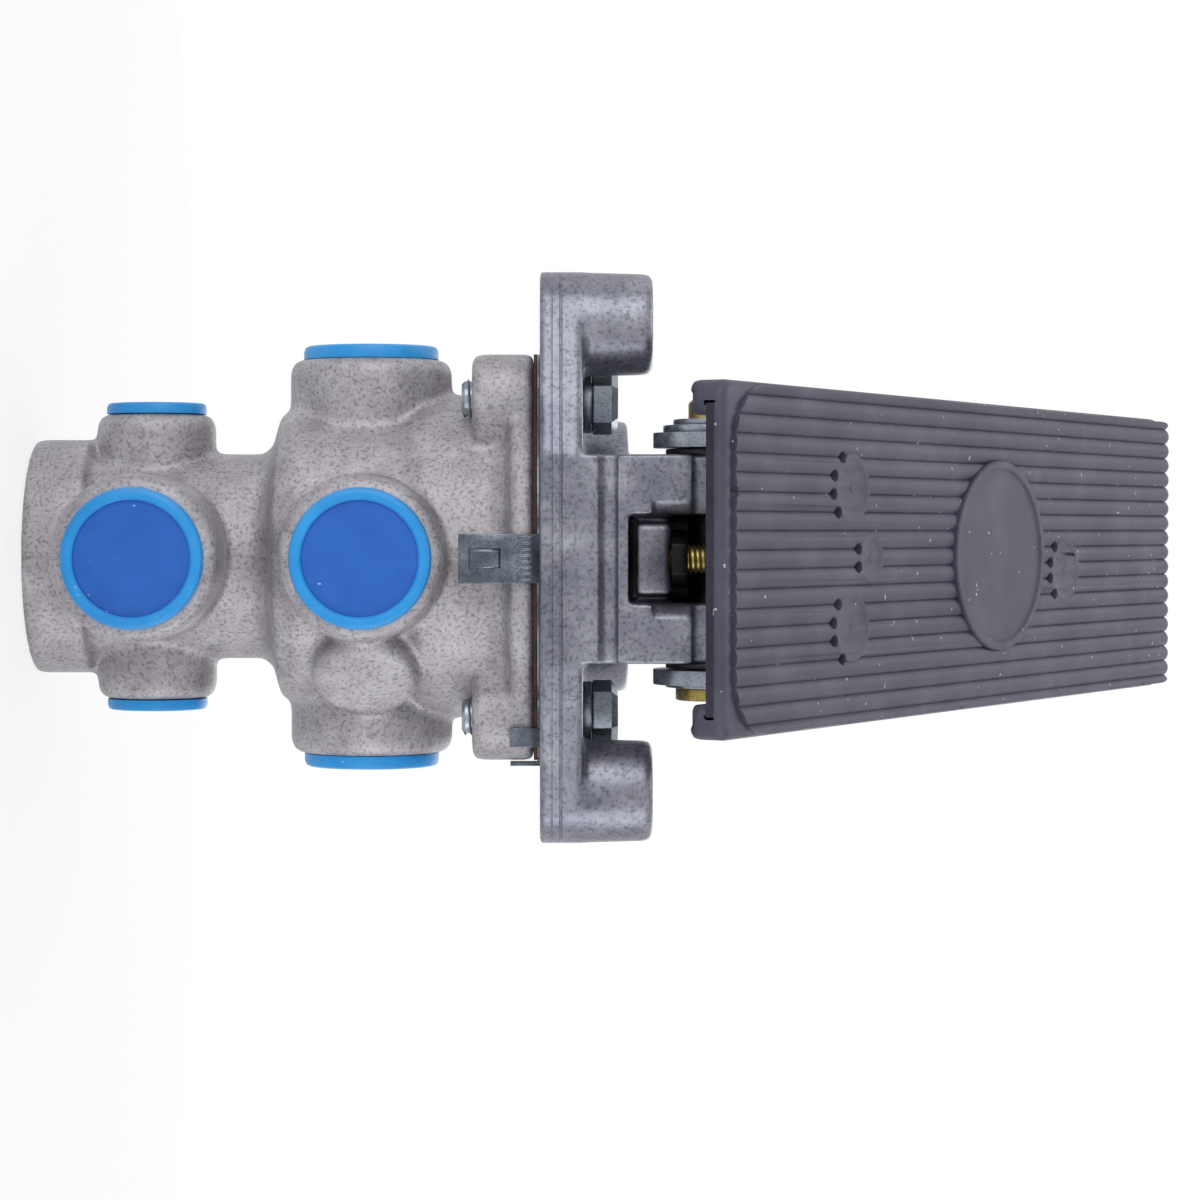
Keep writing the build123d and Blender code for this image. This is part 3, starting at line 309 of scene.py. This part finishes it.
# %% Modelling helpers
def clear_selection():
    """Leave edit mode and deselect everything, so that operators act on the new piece alone."""
    if bpy.context.object and bpy.context.object.mode != "OBJECT":
        bpy.ops.object.mode_set(mode="OBJECT")
    bpy.ops.object.select_all(action="DESELECT")


def pick(piece):
    """Select one piece alone and make it active."""
    clear_selection()
    piece.select_set(True)
    bpy.context.view_layer.objects.active = piece


def bake_place(piece):
    """Put the piece's place into its mesh."""
    pick(piece)
    bpy.ops.object.transform_apply(location=True, rotation=True, scale=True)


def tidy_mesh(piece, merge_mm=0.001):
    """Merge doubled points and turn all faces outwards."""
    pick(piece)
    bpy.ops.object.mode_set(mode="EDIT")
    bpy.ops.mesh.select_all(action="SELECT")
    bpy.ops.mesh.remove_doubles(threshold=merge_mm * mm)
    bpy.ops.mesh.normals_make_consistent(inside=False)
    bpy.ops.object.mode_set(mode="OBJECT")


def turned(name, profile, segments=64, place=(0, 0, 0), rotation=(0, 0, 0), closed=False):
    """A turned piece: a circle extruded and scaled along a profile of (radius, height) in mm.
    An open profile is capped at both ends, and a closed one is joined to its start."""
    clear_selection()
    radius, height = profile[0]
    bpy.ops.mesh.primitive_circle_add(vertices=segments, radius=radius * mm,
                                      fill_type="NOTHING" if closed else "NGON",
                                      location=(0, 0, height * mm))
    piece = bpy.context.object
    piece.name = name
    bake_place(piece)
    bpy.ops.object.mode_set(mode="EDIT")
    bpy.ops.mesh.select_all(action="SELECT")
    path = profile[1:] + ([profile[0]] if closed else [])
    for next_radius, next_height in path:
        bpy.ops.mesh.extrude_region_move(
            TRANSFORM_OT_translate={"value": (0, 0, (next_height - height) * mm)})
        grow = next_radius / radius
        bpy.ops.transform.resize(value=(grow, grow, 1), center_override=(0, 0, next_height * mm))
        radius, height = next_radius, next_height
    bpy.ops.object.mode_set(mode="OBJECT")
    tidy_mesh(piece)
    piece.rotation_euler = rotation
    piece.location = Vector(place) * mm
    bake_place(piece)
    return piece


def apply_modifier(piece, kind, **settings):
    """Add one modifier and apply it at once."""
    pick(piece)
    modifier = piece.modifiers.new(kind.lower(), kind)
    for key, value in settings.items():
        setattr(modifier, key, value)
    bpy.ops.object.modifier_apply(modifier=modifier.name)


def join(pieces, name):
    """Join several pieces into one mesh."""
    clear_selection()
    for piece in pieces:
        piece.select_set(True)
    bpy.context.view_layer.objects.active = pieces[0]
    bpy.ops.object.join()
    pieces[0].name = name
    return pieces[0]


def cut(piece, tool, self_crossing=False):
    """Cut a tool's solid out of a piece, and remove the tool."""
    apply_modifier(piece, "BOOLEAN", operation="DIFFERENCE", object=tool, solver="EXACT", use_self=self_crossing)
    bpy.data.objects.remove(tool)


def dress(piece, material, body, slot, *nodes, angle=35):
    """Finish a piece: its shading, its material, the body it rides on and the nodes it stands for."""
    pick(piece)
    bpy.ops.object.shade_smooth_by_angle(angle=radians(angle))
    if material is not None:
        piece.data.materials.clear()
        piece.data.materials.append(material)
    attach(piece, body)
    if nodes:
        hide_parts(*nodes)
    print(piece.name, "faces:", len(piece.data.polygons))
    return piece


# %% [markdown]
# ### Copies of CAD nodes, boxes and threads
# A pressed or turned steel part already has its right form in CAD, but a real one never has a knife
# edge. Its copy is merged, its flat faces are joined up again, and its edges get a small bevel.
# A screw thread is a three-sided ridge wound round a core by the Screw modifier.

# %% Copies, boxes and threads
def copy_node(node_name, name):
    """A loose copy of a CAD node, with its doubled points merged."""
    clear_selection()
    piece = frame["nodes"][node_name].copy()
    piece.data = piece.data.copy()
    piece.parent = None
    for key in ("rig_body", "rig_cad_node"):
        del piece[key]
    bpy.context.scene.collection.objects.link(piece)
    piece.name = name
    tidy_mesh(piece, 0.01)
    return piece


def bevelled_copy(node_name, name, width, segments=2, limit=35):
    """A copy of a CAD node with its sharp edges bevelled by width mm."""
    piece = copy_node(node_name, name)
    bpy.ops.object.mode_set(mode="EDIT")
    bpy.ops.mesh.select_all(action="SELECT")
    bpy.ops.mesh.dissolve_limited(angle_limit=radians(1))
    bpy.ops.object.mode_set(mode="OBJECT")
    apply_modifier(piece, "BEVEL", width=width * mm, segments=segments, limit_method="ANGLE",
                   angle_limit=radians(limit), use_clamp_overlap=True)
    return piece


def box(name, low, high, bevel=0.0, segments=2):
    """A box between two corners in mm, with its edges bevelled."""
    clear_selection()
    low, high = Vector(low), Vector(high)
    bpy.ops.mesh.primitive_cube_add(size=1.0, location=(low + high) / 2 * mm)
    piece = bpy.context.object
    piece.name = name
    piece.scale = (high - low) * mm
    bake_place(piece)
    if bevel:
        apply_modifier(piece, "BEVEL", width=bevel * mm, segments=segments, limit_method="NONE")
    return piece


def bevel_edges(piece, width, segments, test):
    """Round off the edges whose two ends, in mm, pass a test."""
    pick(piece)
    bpy.ops.object.mode_set(mode="EDIT")
    bpy.ops.mesh.select_mode(type="EDGE")
    bpy.ops.mesh.select_all(action="DESELECT")
    shape = bmesh.from_edit_mesh(piece.data)
    for edge in shape.edges:
        start, end = (point.co / mm for point in edge.verts)
        if test(start, end) and edge.calc_face_angle(0) > radians(30):
            edge.select_set(True)
    bmesh.update_edit_mesh(piece.data)
    bpy.ops.mesh.bevel(offset=width * mm, segments=segments)
    bpy.ops.object.mode_set(mode="OBJECT")
    tidy_mesh(piece)


def fuse(piece, other, self_crossing=False):
    """Add another piece's solid to a piece."""
    apply_modifier(piece, "BOOLEAN", operation="UNION", object=other, solver="EXACT", use_self=self_crossing)
    bpy.data.objects.remove(other)


def thread(name, radius, pitch, low, high, centre=(0, 0)):
    """A helical ridge of the given outer radius from low to high, about a vertical axis."""
    clear_selection()
    ridge = 0.42 * pitch
    turns = (high - low - 2 * ridge) / pitch
    bpy.ops.mesh.primitive_circle_add(vertices=3, radius=ridge * mm, fill_type="NOTHING",
                                      location=((radius - ridge) * mm, 0, (low + ridge) * mm),
                                      rotation=(pi / 2, pi / 2, 0))
    piece = bpy.context.object
    piece.name = name
    bake_place(piece)
    apply_modifier(piece, "SCREW", angle=tau * turns, screw_offset=pitch * turns * mm, axis="Z",
                   steps=int(28 * turns), render_steps=int(28 * turns), use_merge_vertices=False)
    piece.location = (centre[0] * mm, centre[1] * mm, 0)
    bake_place(piece)
    tidy_mesh(piece)
    return piece


# %% [markdown]
# ## The cast body
# The body is a turned form with round bosses for the ports. On a casting every inside corner is a
# soft radius, because sharp ones crack. Overlapping primitives are joined, a voxel remesh fuses
# them into one skin, and smoothing then rounds every root and rim as a foundry pattern would.

# %% Body sizes
body_bottom = -128.0
flange_top = -23.8
flange_bottom = -28.2
upper_level = -58.0
lower_level = -103.0
bolt_places = [(x * 32.4, y * 21.0) for x in (-1, 1) for y in (-1, 1)]
body_profile = [(24.4, -128.0), (24.4, -116.2), (21.6, -115.0), (21.4, -80.5), (23.5, -78.2), (29.5, -76.5),
                (31.5, -72.5), (31.6, -51.0), (33.8, -46.5), (33.8, -32.6), (35.4, -29.6), (40.8, -28.2),
                (41.0, -23.8)]
boss_list = {  # angle in degrees, level, radius, face distance
    "upper_front": (270, upper_level, 16.7, 42.0), "upper_right": (0, upper_level, 16.9, 41.2),
    "upper_left": (180, upper_level, 16.9, 41.2), "lower_front": (270, lower_level, 16.9, 42.0),
    "lower_right": (0, lower_level, 12.4, 29.8), "lower_left": (180, lower_level, 12.4, 29.8),
}
skin_voxel = 0.66
bore_profile = [  # the stepped bore, from the open top down to the exhaust
    (23.0, -23.0), (23.0, -46.0), (20.0, -46.0), (20.0, -76.0), (12.0, -76.0), (12.0, -90.0), (7.5, -90.0),
    (7.5, -92.0), (14.0, -92.0), (14.0, -118.0), (17.5, -118.0), (17.5, body_bottom - 5)]


# %% Body pieces
def outward_turn(angle):
    """The turn that lays a Z-aligned piece along a radius of the valve."""
    return (0, pi / 2, radians(angle))


body_pieces = [turned("body_core", body_profile, 96)]
for boss_name, (angle, level, radius, face) in boss_list.items():
    boss_profile = [(radius, 0.0), (radius, face - 2.6), (radius - 0.8, face - 0.8), (radius - 2.6, face)]
    body_pieces.append(turned("boss_" + boss_name, boss_profile, 64, (0, 0, level), outward_turn(angle)))
blind_profile = [(11.0, 0.0), (11.0, 33.9), (10.2, 35.5), (8.4, 36.2)]
body_pieces.append(turned("boss_blind", blind_profile, 48, (0, 0, upper_level), outward_turn(-45)))
for bolt_x, bolt_y in bolt_places:
    inward = 1 - 8.0 / hypot(bolt_x, bolt_y)
    for share in (1.0, (1 + inward) / 2, inward):
        lug_profile = [(7.6, -36.3), (8.7, -35.7), (9.0, -34.4), (9.0, flange_top)]
        body_pieces.append(turned("lug", lug_profile, 48, (bolt_x * share, bolt_y * share, 0)))
body = join(body_pieces, "cast_body")
apply_modifier(body, "REMESH", mode="VOXEL", voxel_size=skin_voxel * mm)
apply_modifier(body, "SMOOTH", factor=0.5, iterations=14)

# %% Cut the machined faces and bores
top_face = turned("cutter", [(60.0, flange_top - 0.02), (60.0, flange_top + 10)], 48)
cut(body, top_face)
cut(body, turned("cutter", bore_profile, 96))
dress(body, cast_aluminium, "housing", "cast_aluminium", "valve_body", angle=50)

# %% [markdown]
# ## The port plugs
# Each port is closed by a moulded blue plug with a raised rim and a sunk face. It is turned in one
# go, and the faces of the sunk disc get a deeper blue: painted shade in the recess, and partly the
# thinner wall letting light through.

# %% Port plugs
large_plug = [(9.0, -6.0), (9.9, -6.0), (9.9, 0.02), (14.1, 0.02), (14.1, 1.6), (13.8, 2.4), (13.2, 2.75), (12.6, 2.8),
              (12.0, 2.7), (11.6, 2.3), (11.5, 1.7)]
small_plug = [(6.0, -5.0), (6.9, -5.0), (6.9, 0.02), (10.4, 0.02), (10.4, 1.3), (10.1, 2.0), (9.6, 2.25), (9.0, 2.3),
              (8.5, 2.2), (8.2, 1.9), (8.1, 1.3)]


def make_plug(place, angle, level, face, profile):
    """One port plug at its boss, with its sunk face in a second, deeper blue: partly painted shade."""
    piece = turned("plug_" + place, profile, 96, (0, 0, level), outward_turn(angle))
    outward = Vector((cos(radians(angle)), sin(radians(angle)), 0))
    piece.location = outward * face * mm
    bake_place(piece)
    dress(piece, plug_rim_blue, "housing", "blue_plastic", place_node(place))
    piece.data.materials.append(plug_face_shaded_blue)
    disc_radius = profile[-1][0] + 0.1
    centre = Vector((0, 0, level * mm))
    # The faces of the sunk disc take the deeper blue of painted shade.
    for polygon in piece.data.polygons:
        offset = polygon.center - centre
        across = (offset - outward * offset.dot(outward)).length / mm
        if across < disc_radius and offset.dot(outward) / mm > face:
            polygon.material_index = 1
    return piece


def place_node(place):
    """The CAD node's name for a plug's place."""
    level, side = place.split("_")
    return f"{level}_port_plug_{side}"


for boss_name, (angle, level, radius, face) in boss_list.items():
    make_plug(boss_name, angle, level, face, small_plug if radius < 15 else large_plug)

# %% [markdown]
# ## The mounting base
# The base is die cast, with edges rounded only by the tool. Its CAD solid already has the right
# form, so a copy of it is merged, remeshed and smoothed a little.


# %% Mounting base
plate_top = -14.0
post_places = [(0, 48.5), (-46.77, -32.5), (46.77, -32.5)]

base = copy_node("mounting_base", "cast_base")
for post_x, post_y in post_places:
    cut(base, turned("cutter", [(11.6, plate_top + 0.3), (11.6, 3.0)], 48, (post_x, post_y, 0)))
post_profile = [(10.4, plate_top - 1.0), (10.4, plate_top + 1.2), (10.1, -2.0), (10.0, -1.0), (9.5, -0.2),
                (8.9, 0.0)]
posts = [turned("post", post_profile, 48, (post_x, post_y, 0)) for post_x, post_y in post_places]
bridge_face = box("bridge_face", (-6.9, -51.95, -3.3), (6.9, -50.4, 3.1))
base = join([base] + posts + [bridge_face], "cast_base")
apply_modifier(base, "REMESH", mode="VOXEL", voxel_size=0.65 * mm)
apply_modifier(base, "SMOOTH", factor=0.5, iterations=3)
for post_x, post_y in post_places:
    cut(base, turned("cutter", [(4.4, -25.0), (4.4, 3.0)], 48, (post_x, post_y, 0)))
cut(base, turned("cutter", [(70.0, -30.0), (70.0, -22.49)], 48))
dress(base, die_cast_aluminium, "housing", "die_cast_aluminium", "mounting_base", angle=50)

# %% [markdown]
# ## The treadle's rubber pad
# The pad is moulded rubber that wraps round the steel lever. Half-round ribs run along it for grip,
# round discs stand in the ribs where the mould's pins were, and at the heel the tread rolls over
# into a lip between two soft wings. It is drawn flat, in the lever's own plane, and then turned up
# on to the hinge.

# %% Sizes of the pad
treadle_turn = (radians(35), 0, 0)
hinge_point = Vector((0, -40.0, 12.0)) * mm
pad_heel, pad_toe = -26.0, 173.0
heel_half, toe_half = 34.45, 31.5
pad_bottom, rib_foot, pad_top = 9.0, 18.4, 19.5
lever_heel, lever_toe, lever_face = -18.0, 163.0, 13.5
narrowing = (heel_half - toe_half) / (pad_toe - pad_heel)
half_width = heel_half + narrowing * pad_heel
rib_pitch, rib_count, rib_start = 3.70, 19, -22.4

# %% The slab with its rolled edges
pad = box("rubber_pad", (-half_width, pad_heel, pad_bottom), (half_width, pad_toe, rib_foot))
bevel_edges(pad, 3.5, 5, lambda a, b: abs(a.z - b.z) > 5 and a.y < 0)
bevel_edges(pad, 6.5, 7, lambda a, b: abs(a.z - b.z) > 5 and a.y > 0)
slope = box("cutter", (-60, -6, -20), (60, 20, 0))
slope.rotation_euler = (radians(-45), 0, 0)
slope.location = Vector((0, pad_heel, 12.6)) * mm
bake_place(slope)
cut(pad, slope)
cut(pad, box("cutter", (-27.6, -30.0, 5.0), (27.6, lever_heel + 0.1, 14.7)))
bevel_edges(pad, 1.9, 4, lambda a, b: min(a.z, b.z) > rib_foot - 0.05 or max(a.y, b.y) < lever_heel - 1)
print("slab faces:", len(pad.data.polygons))

# %% The ribs
# One flat half-round bar is repeated by an Array modifier, and trimmed to the tread's outline.
rib_profile = [(1.98, pad_heel), (1.98, pad_toe - 2.4), (1.85, pad_toe - 1.4), (1.3, pad_toe - 0.5)]
ribs = turned("ribs", rib_profile, 20, rotation=(-pi / 2, 0, 0))
ribs.scale = (1.0, 1.0, (pad_top - rib_foot) / 1.98)
bake_place(ribs)
ribs.location = (-rib_pitch * (rib_count - 1) / 2 * mm, 0, rib_foot * mm)
bake_place(ribs)
apply_modifier(ribs, "ARRAY", count=rib_count, use_relative_offset=False, use_constant_offset=True,
               constant_offset_displace=(rib_pitch * mm, 0, 0))
trim = box("trim", (-half_width + 0.7, rib_start, rib_foot - 0.8), (half_width - 0.7, pad_toe + 3, pad_top + 5))
bevel_edges(trim, 11.0, 6, lambda a, b: abs(a.z - b.z) > 5 and a.y < 0)
bevel_edges(trim, 7.5, 6, lambda a, b: abs(a.z - b.z) > 5 and a.y > 0)
apply_modifier(ribs, "BOOLEAN", operation="INTERSECT", object=trim, solver="EXACT", use_self=True)
bpy.data.objects.remove(trim)
fuse(pad, ribs, True)
span = max(point.co.y for point in pad.data.vertices) - min(point.co.y for point in pad.data.vertices)
apply_modifier(pad, "SIMPLE_DEFORM", deform_method="TAPER", deform_axis="Y", lock_z=True,
               factor=-narrowing / half_width * span / mm)
widths = [max(abs(point.co.x) for point in pad.data.vertices if abs(point.co.y / mm - y) < 12) for y in (-10, 155)]
print("half widths at heel and toe:", [round(width / mm, 2) for width in widths])

# %% Discs and medallion
tread_discs = [(-14.0, 21.4, 7.0), (14.0, 21.4, 7.0), (0.0, 29.1, 5.0), (3.5, 116.8, 7.0)]
for disc_x, disc_y, radius in tread_discs:
    disc_profile = [(radius, 17.0), (radius, 19.35), (radius - 0.15, 19.5), (radius - 1.2, 19.5), (radius - 1.4, 19.4),
                    (0.9, 19.4), (0.8, 19.55)]
    fuse(pad, turned("disc", disc_profile, 48, (disc_x, disc_y, 0)))
medallion_y = 84.9
medallion_profile = [(20.5, 17.0), (20.5, 19.9), (20.2, 20.2), (18.9, 20.2), (18.4, 19.7), (0.5, 19.8)]
fuse(pad, turned("medallion", medallion_profile, 96, (0, medallion_y, 0)))

# %% Pits and nicks
# Where the ribs run out at the heel side of a disc, the mould left a small deep pit in each valley.
pits = []
for disc_x, disc_y, radius in tread_discs:
    for valley in range(-8, 9):
        pit_x = (valley + 0.5) * rib_pitch * (1 - narrowing * disc_y / half_width)
        across = abs(pit_x - disc_x)
        if across < radius - 0.4:
            pit_y = disc_y - sqrt(radius ** 2 - across ** 2) - 0.4
            pits.append(turned("pit", [(0.35, 16.9), (0.9, 17.6), (1.15, 18.6), (1.4, 20.5)], 10, (pit_x, pit_y, 0)))
edge_nicks = [(-33.2, 78.0, 1.0), (-33.0, 83.5, 0.7), (32.7, 68.0, 0.9), (33.6, 20.0, 0.8), (-13.0, -22.4, 1.1),
              (-31.9, 140.0, 0.8), (31.4, 158.0, 0.9), (12.0, 172.2, 0.7)]
for nick_x, nick_y, radius in edge_nicks:
    pits.append(turned("nick", [(0.4 * radius, 17.4), (radius, 18.2), (1.1 * radius, 21.0)], 7, (nick_x, nick_y, 0)))
cut(pad, join(pits, "cutter"), True)


# %% The hollows of the pad
lever_hollow = box("cutter", (-27.8, -40.0, 5.0), (27.8, lever_toe - 2.2, lever_face))
bevel_edges(lever_hollow, 5.0, 5, lambda a, b: abs(a.z - b.z) > 5 and a.y > 0)
cut(pad, lever_hollow)
cut(pad, box("cutter", (-31.0, -11.0, 5.0), (31.0, 11.0, 10.6)))
pad.rotation_euler = treadle_turn
pad.location = hinge_point
bake_place(pad)
dress(pad, treadle_rubber, "treadle", "treadle_rubber", "treadle_pad", angle=40)

# %% [markdown]
# ## Steel pieces
# The lever, its roller bracket and the rings of the hinge are pressed or turned steel, plated with
# zinc. The bolts have forged hexagon heads with a turned chamfer, and their threaded ends come
# through the lugs of the body.

# %% Pressed and turned steel
steel_copies = [  # CAD node, bevel in mm, material, slot, body
    ("treadle_lever", 0.5, zinc_steel, "zinc_steel", "treadle"),
    ("roller_bracket", 0.4, zinc_steel, "zinc_steel", "treadle"),
    ("pin_washer", 0.25, zinc_steel, "zinc_steel", "housing"),
    ("pin_retainer", 0.25, zinc_steel, "zinc_steel", "housing"),
    ("head_washer", 0.12, zinc_steel, "zinc_steel", "housing"),
    ("pin_spacers", 0.25, black_plastic, "black_plastic", "housing"),
    # The nut and the hinge pin take yellow zinc with painted shade in the pocket.
    ("stop_screw_nut", 0.3, shaded_yellow_zinc, "yellow_zinc", "housing"),
    ("flange_gasket", 0.1, gasket_paper, "gasket", "housing"),
    ("roller", 0.6, plain_steel, "steel", "roller"),
    ("plunger", 0.4, plain_steel, "steel", "plunger"),
    ("bolt_washers", 0.3, zinc_steel, "zinc_steel", "housing"),
    ("hinge_pin", 0.35, shaded_yellow_zinc, "yellow_zinc", "housing"),
]
for node_name, width, material, slot_name, body_name in steel_copies:
    piece = bevelled_copy(node_name, "smooth_" + node_name, width)
    dress(piece, material, body_name, slot_name, node_name)

# %% Tab plate
tab_plate = bevelled_copy("tab_plate", "tab_plate_with_louver", 0.12)
louver = box("louver", (-2.1, -42.7, -36.6), (2.1, -41.6, -30.2))
bevel_edges(louver, 0.95, 4, lambda a, b: max(a.y, b.y) < -42)
ridges = [box("ridge", (x - 0.3, -42.35, -26.9), (x + 0.3, -41.8, -23.6), 0.15)
          for x in (-4.2, -3.0, -1.8, -0.6, 0.6, 1.8, 3.0, 4.2)]
tab_plate = join([tab_plate, louver] + ridges, "tab_plate_with_louver")
dress(tab_plate, dark_zinc_steel, "housing", "zinc_steel", "tab_plate")

# %% Bolts
bolts = []
for bolt_x, bolt_y in bolt_places:
    head = turned("bolt_head", [(7.0, -12.0), (7.5, -11.6), (7.5, -8.0), (6.3, -6.9), (6.1, -6.7)], 6,
                  (bolt_x, bolt_y, 0), (0, 0, 0.3 * (bolt_x + bolt_y)))
    crown = turned("cutter", [(6.5, -6.6), (6.5, -6.75), (7.6, -7.5), (7.6, -12.1)], 48, (bolt_x, bolt_y, 0))
    apply_modifier(head, "BOOLEAN", operation="INTERSECT", object=crown, solver="EXACT")
    bpy.data.objects.remove(crown)
    shank = turned("shank", [(2.9, -38.45), (3.55, -37.8), (3.55, -12.1)], 32, (bolt_x, bolt_y, 0))
    ridge = thread("thread", 4.0, 1.25, -38.3, -33.0, (bolt_x, bolt_y))
    bolts += [head, shank, ridge]
bolts = join(bolts, "bolts")
dress(bolts, zinc_steel, "housing", "zinc_steel", "body_bolts")

# %% Stop screw
screw_y = -48.4
screw = turned("stop_screw_core", [(2.3, -3.3), (2.45, -3.0), (2.45, 14.3), (2.3, 15.6), (1.8, 16.6), (1.0, 17.2)], 32,
               (0, screw_y, 0))
screw = join([screw, thread("thread", 3.0, 1.0, -3.2, 14.6, (0, screw_y))], "threaded_stop_screw")
dress(screw, yellow_zinc, "housing", "yellow_zinc", "stop_screw")

# %% [markdown]
# ## The rubber boot and the springs
# The boot is a bellows that keeps dirt off the plunger, with round folds. It shortens as the plunger
# goes down, and so do the five coil springs inside. The frame names the joint that each one
# follows and the end that stays still; one loop gives each its own mesh, shading and material,
# at its resting length.

# %% Boot and springs
boot_bottom, boot_top, boot_folds = -4.3, 24.9, 4
boot_wall = 1.3
outer_line = []
for step in range(boot_folds * 8 + 1):
    share = step / (boot_folds * 8)
    radius = 13.1 - 2.0 * share + 1.3 * cos(tau * boot_folds * share)
    outer_line.append((radius, boot_bottom + 0.05 + (boot_top - boot_bottom - 0.1) * share))
inner_line = [(radius - boot_wall, height) for radius, height in reversed(outer_line)]
boot = turned("bellows_boot", outer_line + inner_line, 64, closed=True)
for joint in frame["joints"]:
    for entry in joint.get("deforming_nodes", []):
        node_name, fixed_end = entry["node"], entry["fixed_end_z_m"]
        is_boot = node_name == "plunger_boot"
        piece = boot if is_boot else copy_node(node_name, "coiled_" + node_name)
        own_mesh(piece)
        dress(piece, seal_rubber if is_boot else spring_steel, "housing",
              "rubber" if is_boot else "spring_steel", node_name)

# %% [markdown]
# ## Light and ground
# Soft boxes stand round the valve as in a product studio. The floor and the world are plain white
# to the camera and to reflections, while they light the object only gently.

# %% Floor and world
def studio_white(tree, lit_shader, share):
    """The share of plain white, for rays from the camera and from reflections, with which a lit shader is mixed;
    lit_shader is not used.
    """
    path = add_node(tree, "ShaderNodeLightPath")
    seen = add_node(tree, "ShaderNodeMath", {0: path.outputs["Is Camera Ray"], 1: path.outputs["Is Glossy Ray"]},
                    operation="MAXIMUM")
    seen = add_node(tree, "ShaderNodeMath", {0: seen.outputs[0], 1: path.outputs["Is Transmission Ray"]},
                    operation="MAXIMUM")
    return add_node(tree, "ShaderNodeMath", {0: seen.outputs[0], 1: share}, operation="MULTIPLY").outputs[0]


clear_selection()
bpy.ops.mesh.primitive_circle_add(vertices=96, radius=0.30, fill_type="NGON", location=(0, 0.01, -0.1283))
floor = bpy.context.object
floor.name = "studio_floor"
floor_white, tree, shader, place = new_material("floor_paper")
shader.inputs["Base Color"].default_value = colour("#E6E6E8")
shader.inputs["Roughness"].default_value = 0.9
glow = add_node(tree, "ShaderNodeEmission", {"Color": colour("#FFFFFF"), "Strength": 1.12})
mixed = add_node(tree, "ShaderNodeMixShader",
                 {0: studio_white(tree, shader, 0.7), 1: shader.outputs[0], 2: glow.outputs[0]})
tree.links.new(mixed.outputs[0], tree.nodes["Material Output"].inputs["Surface"])
floor.data.materials.append(floor_white)

world = bpy.data.worlds.new("studio")
bpy.context.scene.world = world
world.use_nodes = True
tree = world.node_tree
background = tree.nodes["Background"]
background.inputs["Color"].default_value = colour("#F4F4FA")
background.inputs["Strength"].default_value = 0.55
white = add_node(tree, "ShaderNodeBackground", {"Color": colour("#FFFFFF"), "Strength": 1.0})
mixed = add_node(tree, "ShaderNodeMixShader",
                 {0: studio_white(tree, background, 1.0), 1: background.outputs[0], 2: white.outputs[0]})
tree.links.new(mixed.outputs[0], tree.nodes["World Output"].inputs["Surface"])


# %% Soft boxes
def soft_box(name, place, target, size, watts):
    """A square area light aimed at a point."""
    direction = Vector(target) - Vector(place)
    bpy.ops.object.light_add(type="AREA", location=place, rotation=direction.to_track_quat("-Z", "Y").to_euler())
    lamp = bpy.context.object
    lamp.name = name
    lamp.data.shape = "SQUARE"
    lamp.data.size = size
    lamp.data.energy = watts


soft_box("upper_box", (-0.86, -1.0, 0.0), (0, 0, -0.02), 0.8, 5.5)
soft_box("side_box", (1.1, -0.62, 0.05), (0, 0, -0.02), 0.7, 4.2)
soft_box("rear_box", (0.2, 1.2, 0.5), (0, 0, -0.02), 0.9, 4.0)
soft_box("top_box", (-0.3, 0.3, 1.3), (0, 0, -0.02), 0.7, 2.5)
bpy.context.scene.view_settings.view_transform = "Standard"
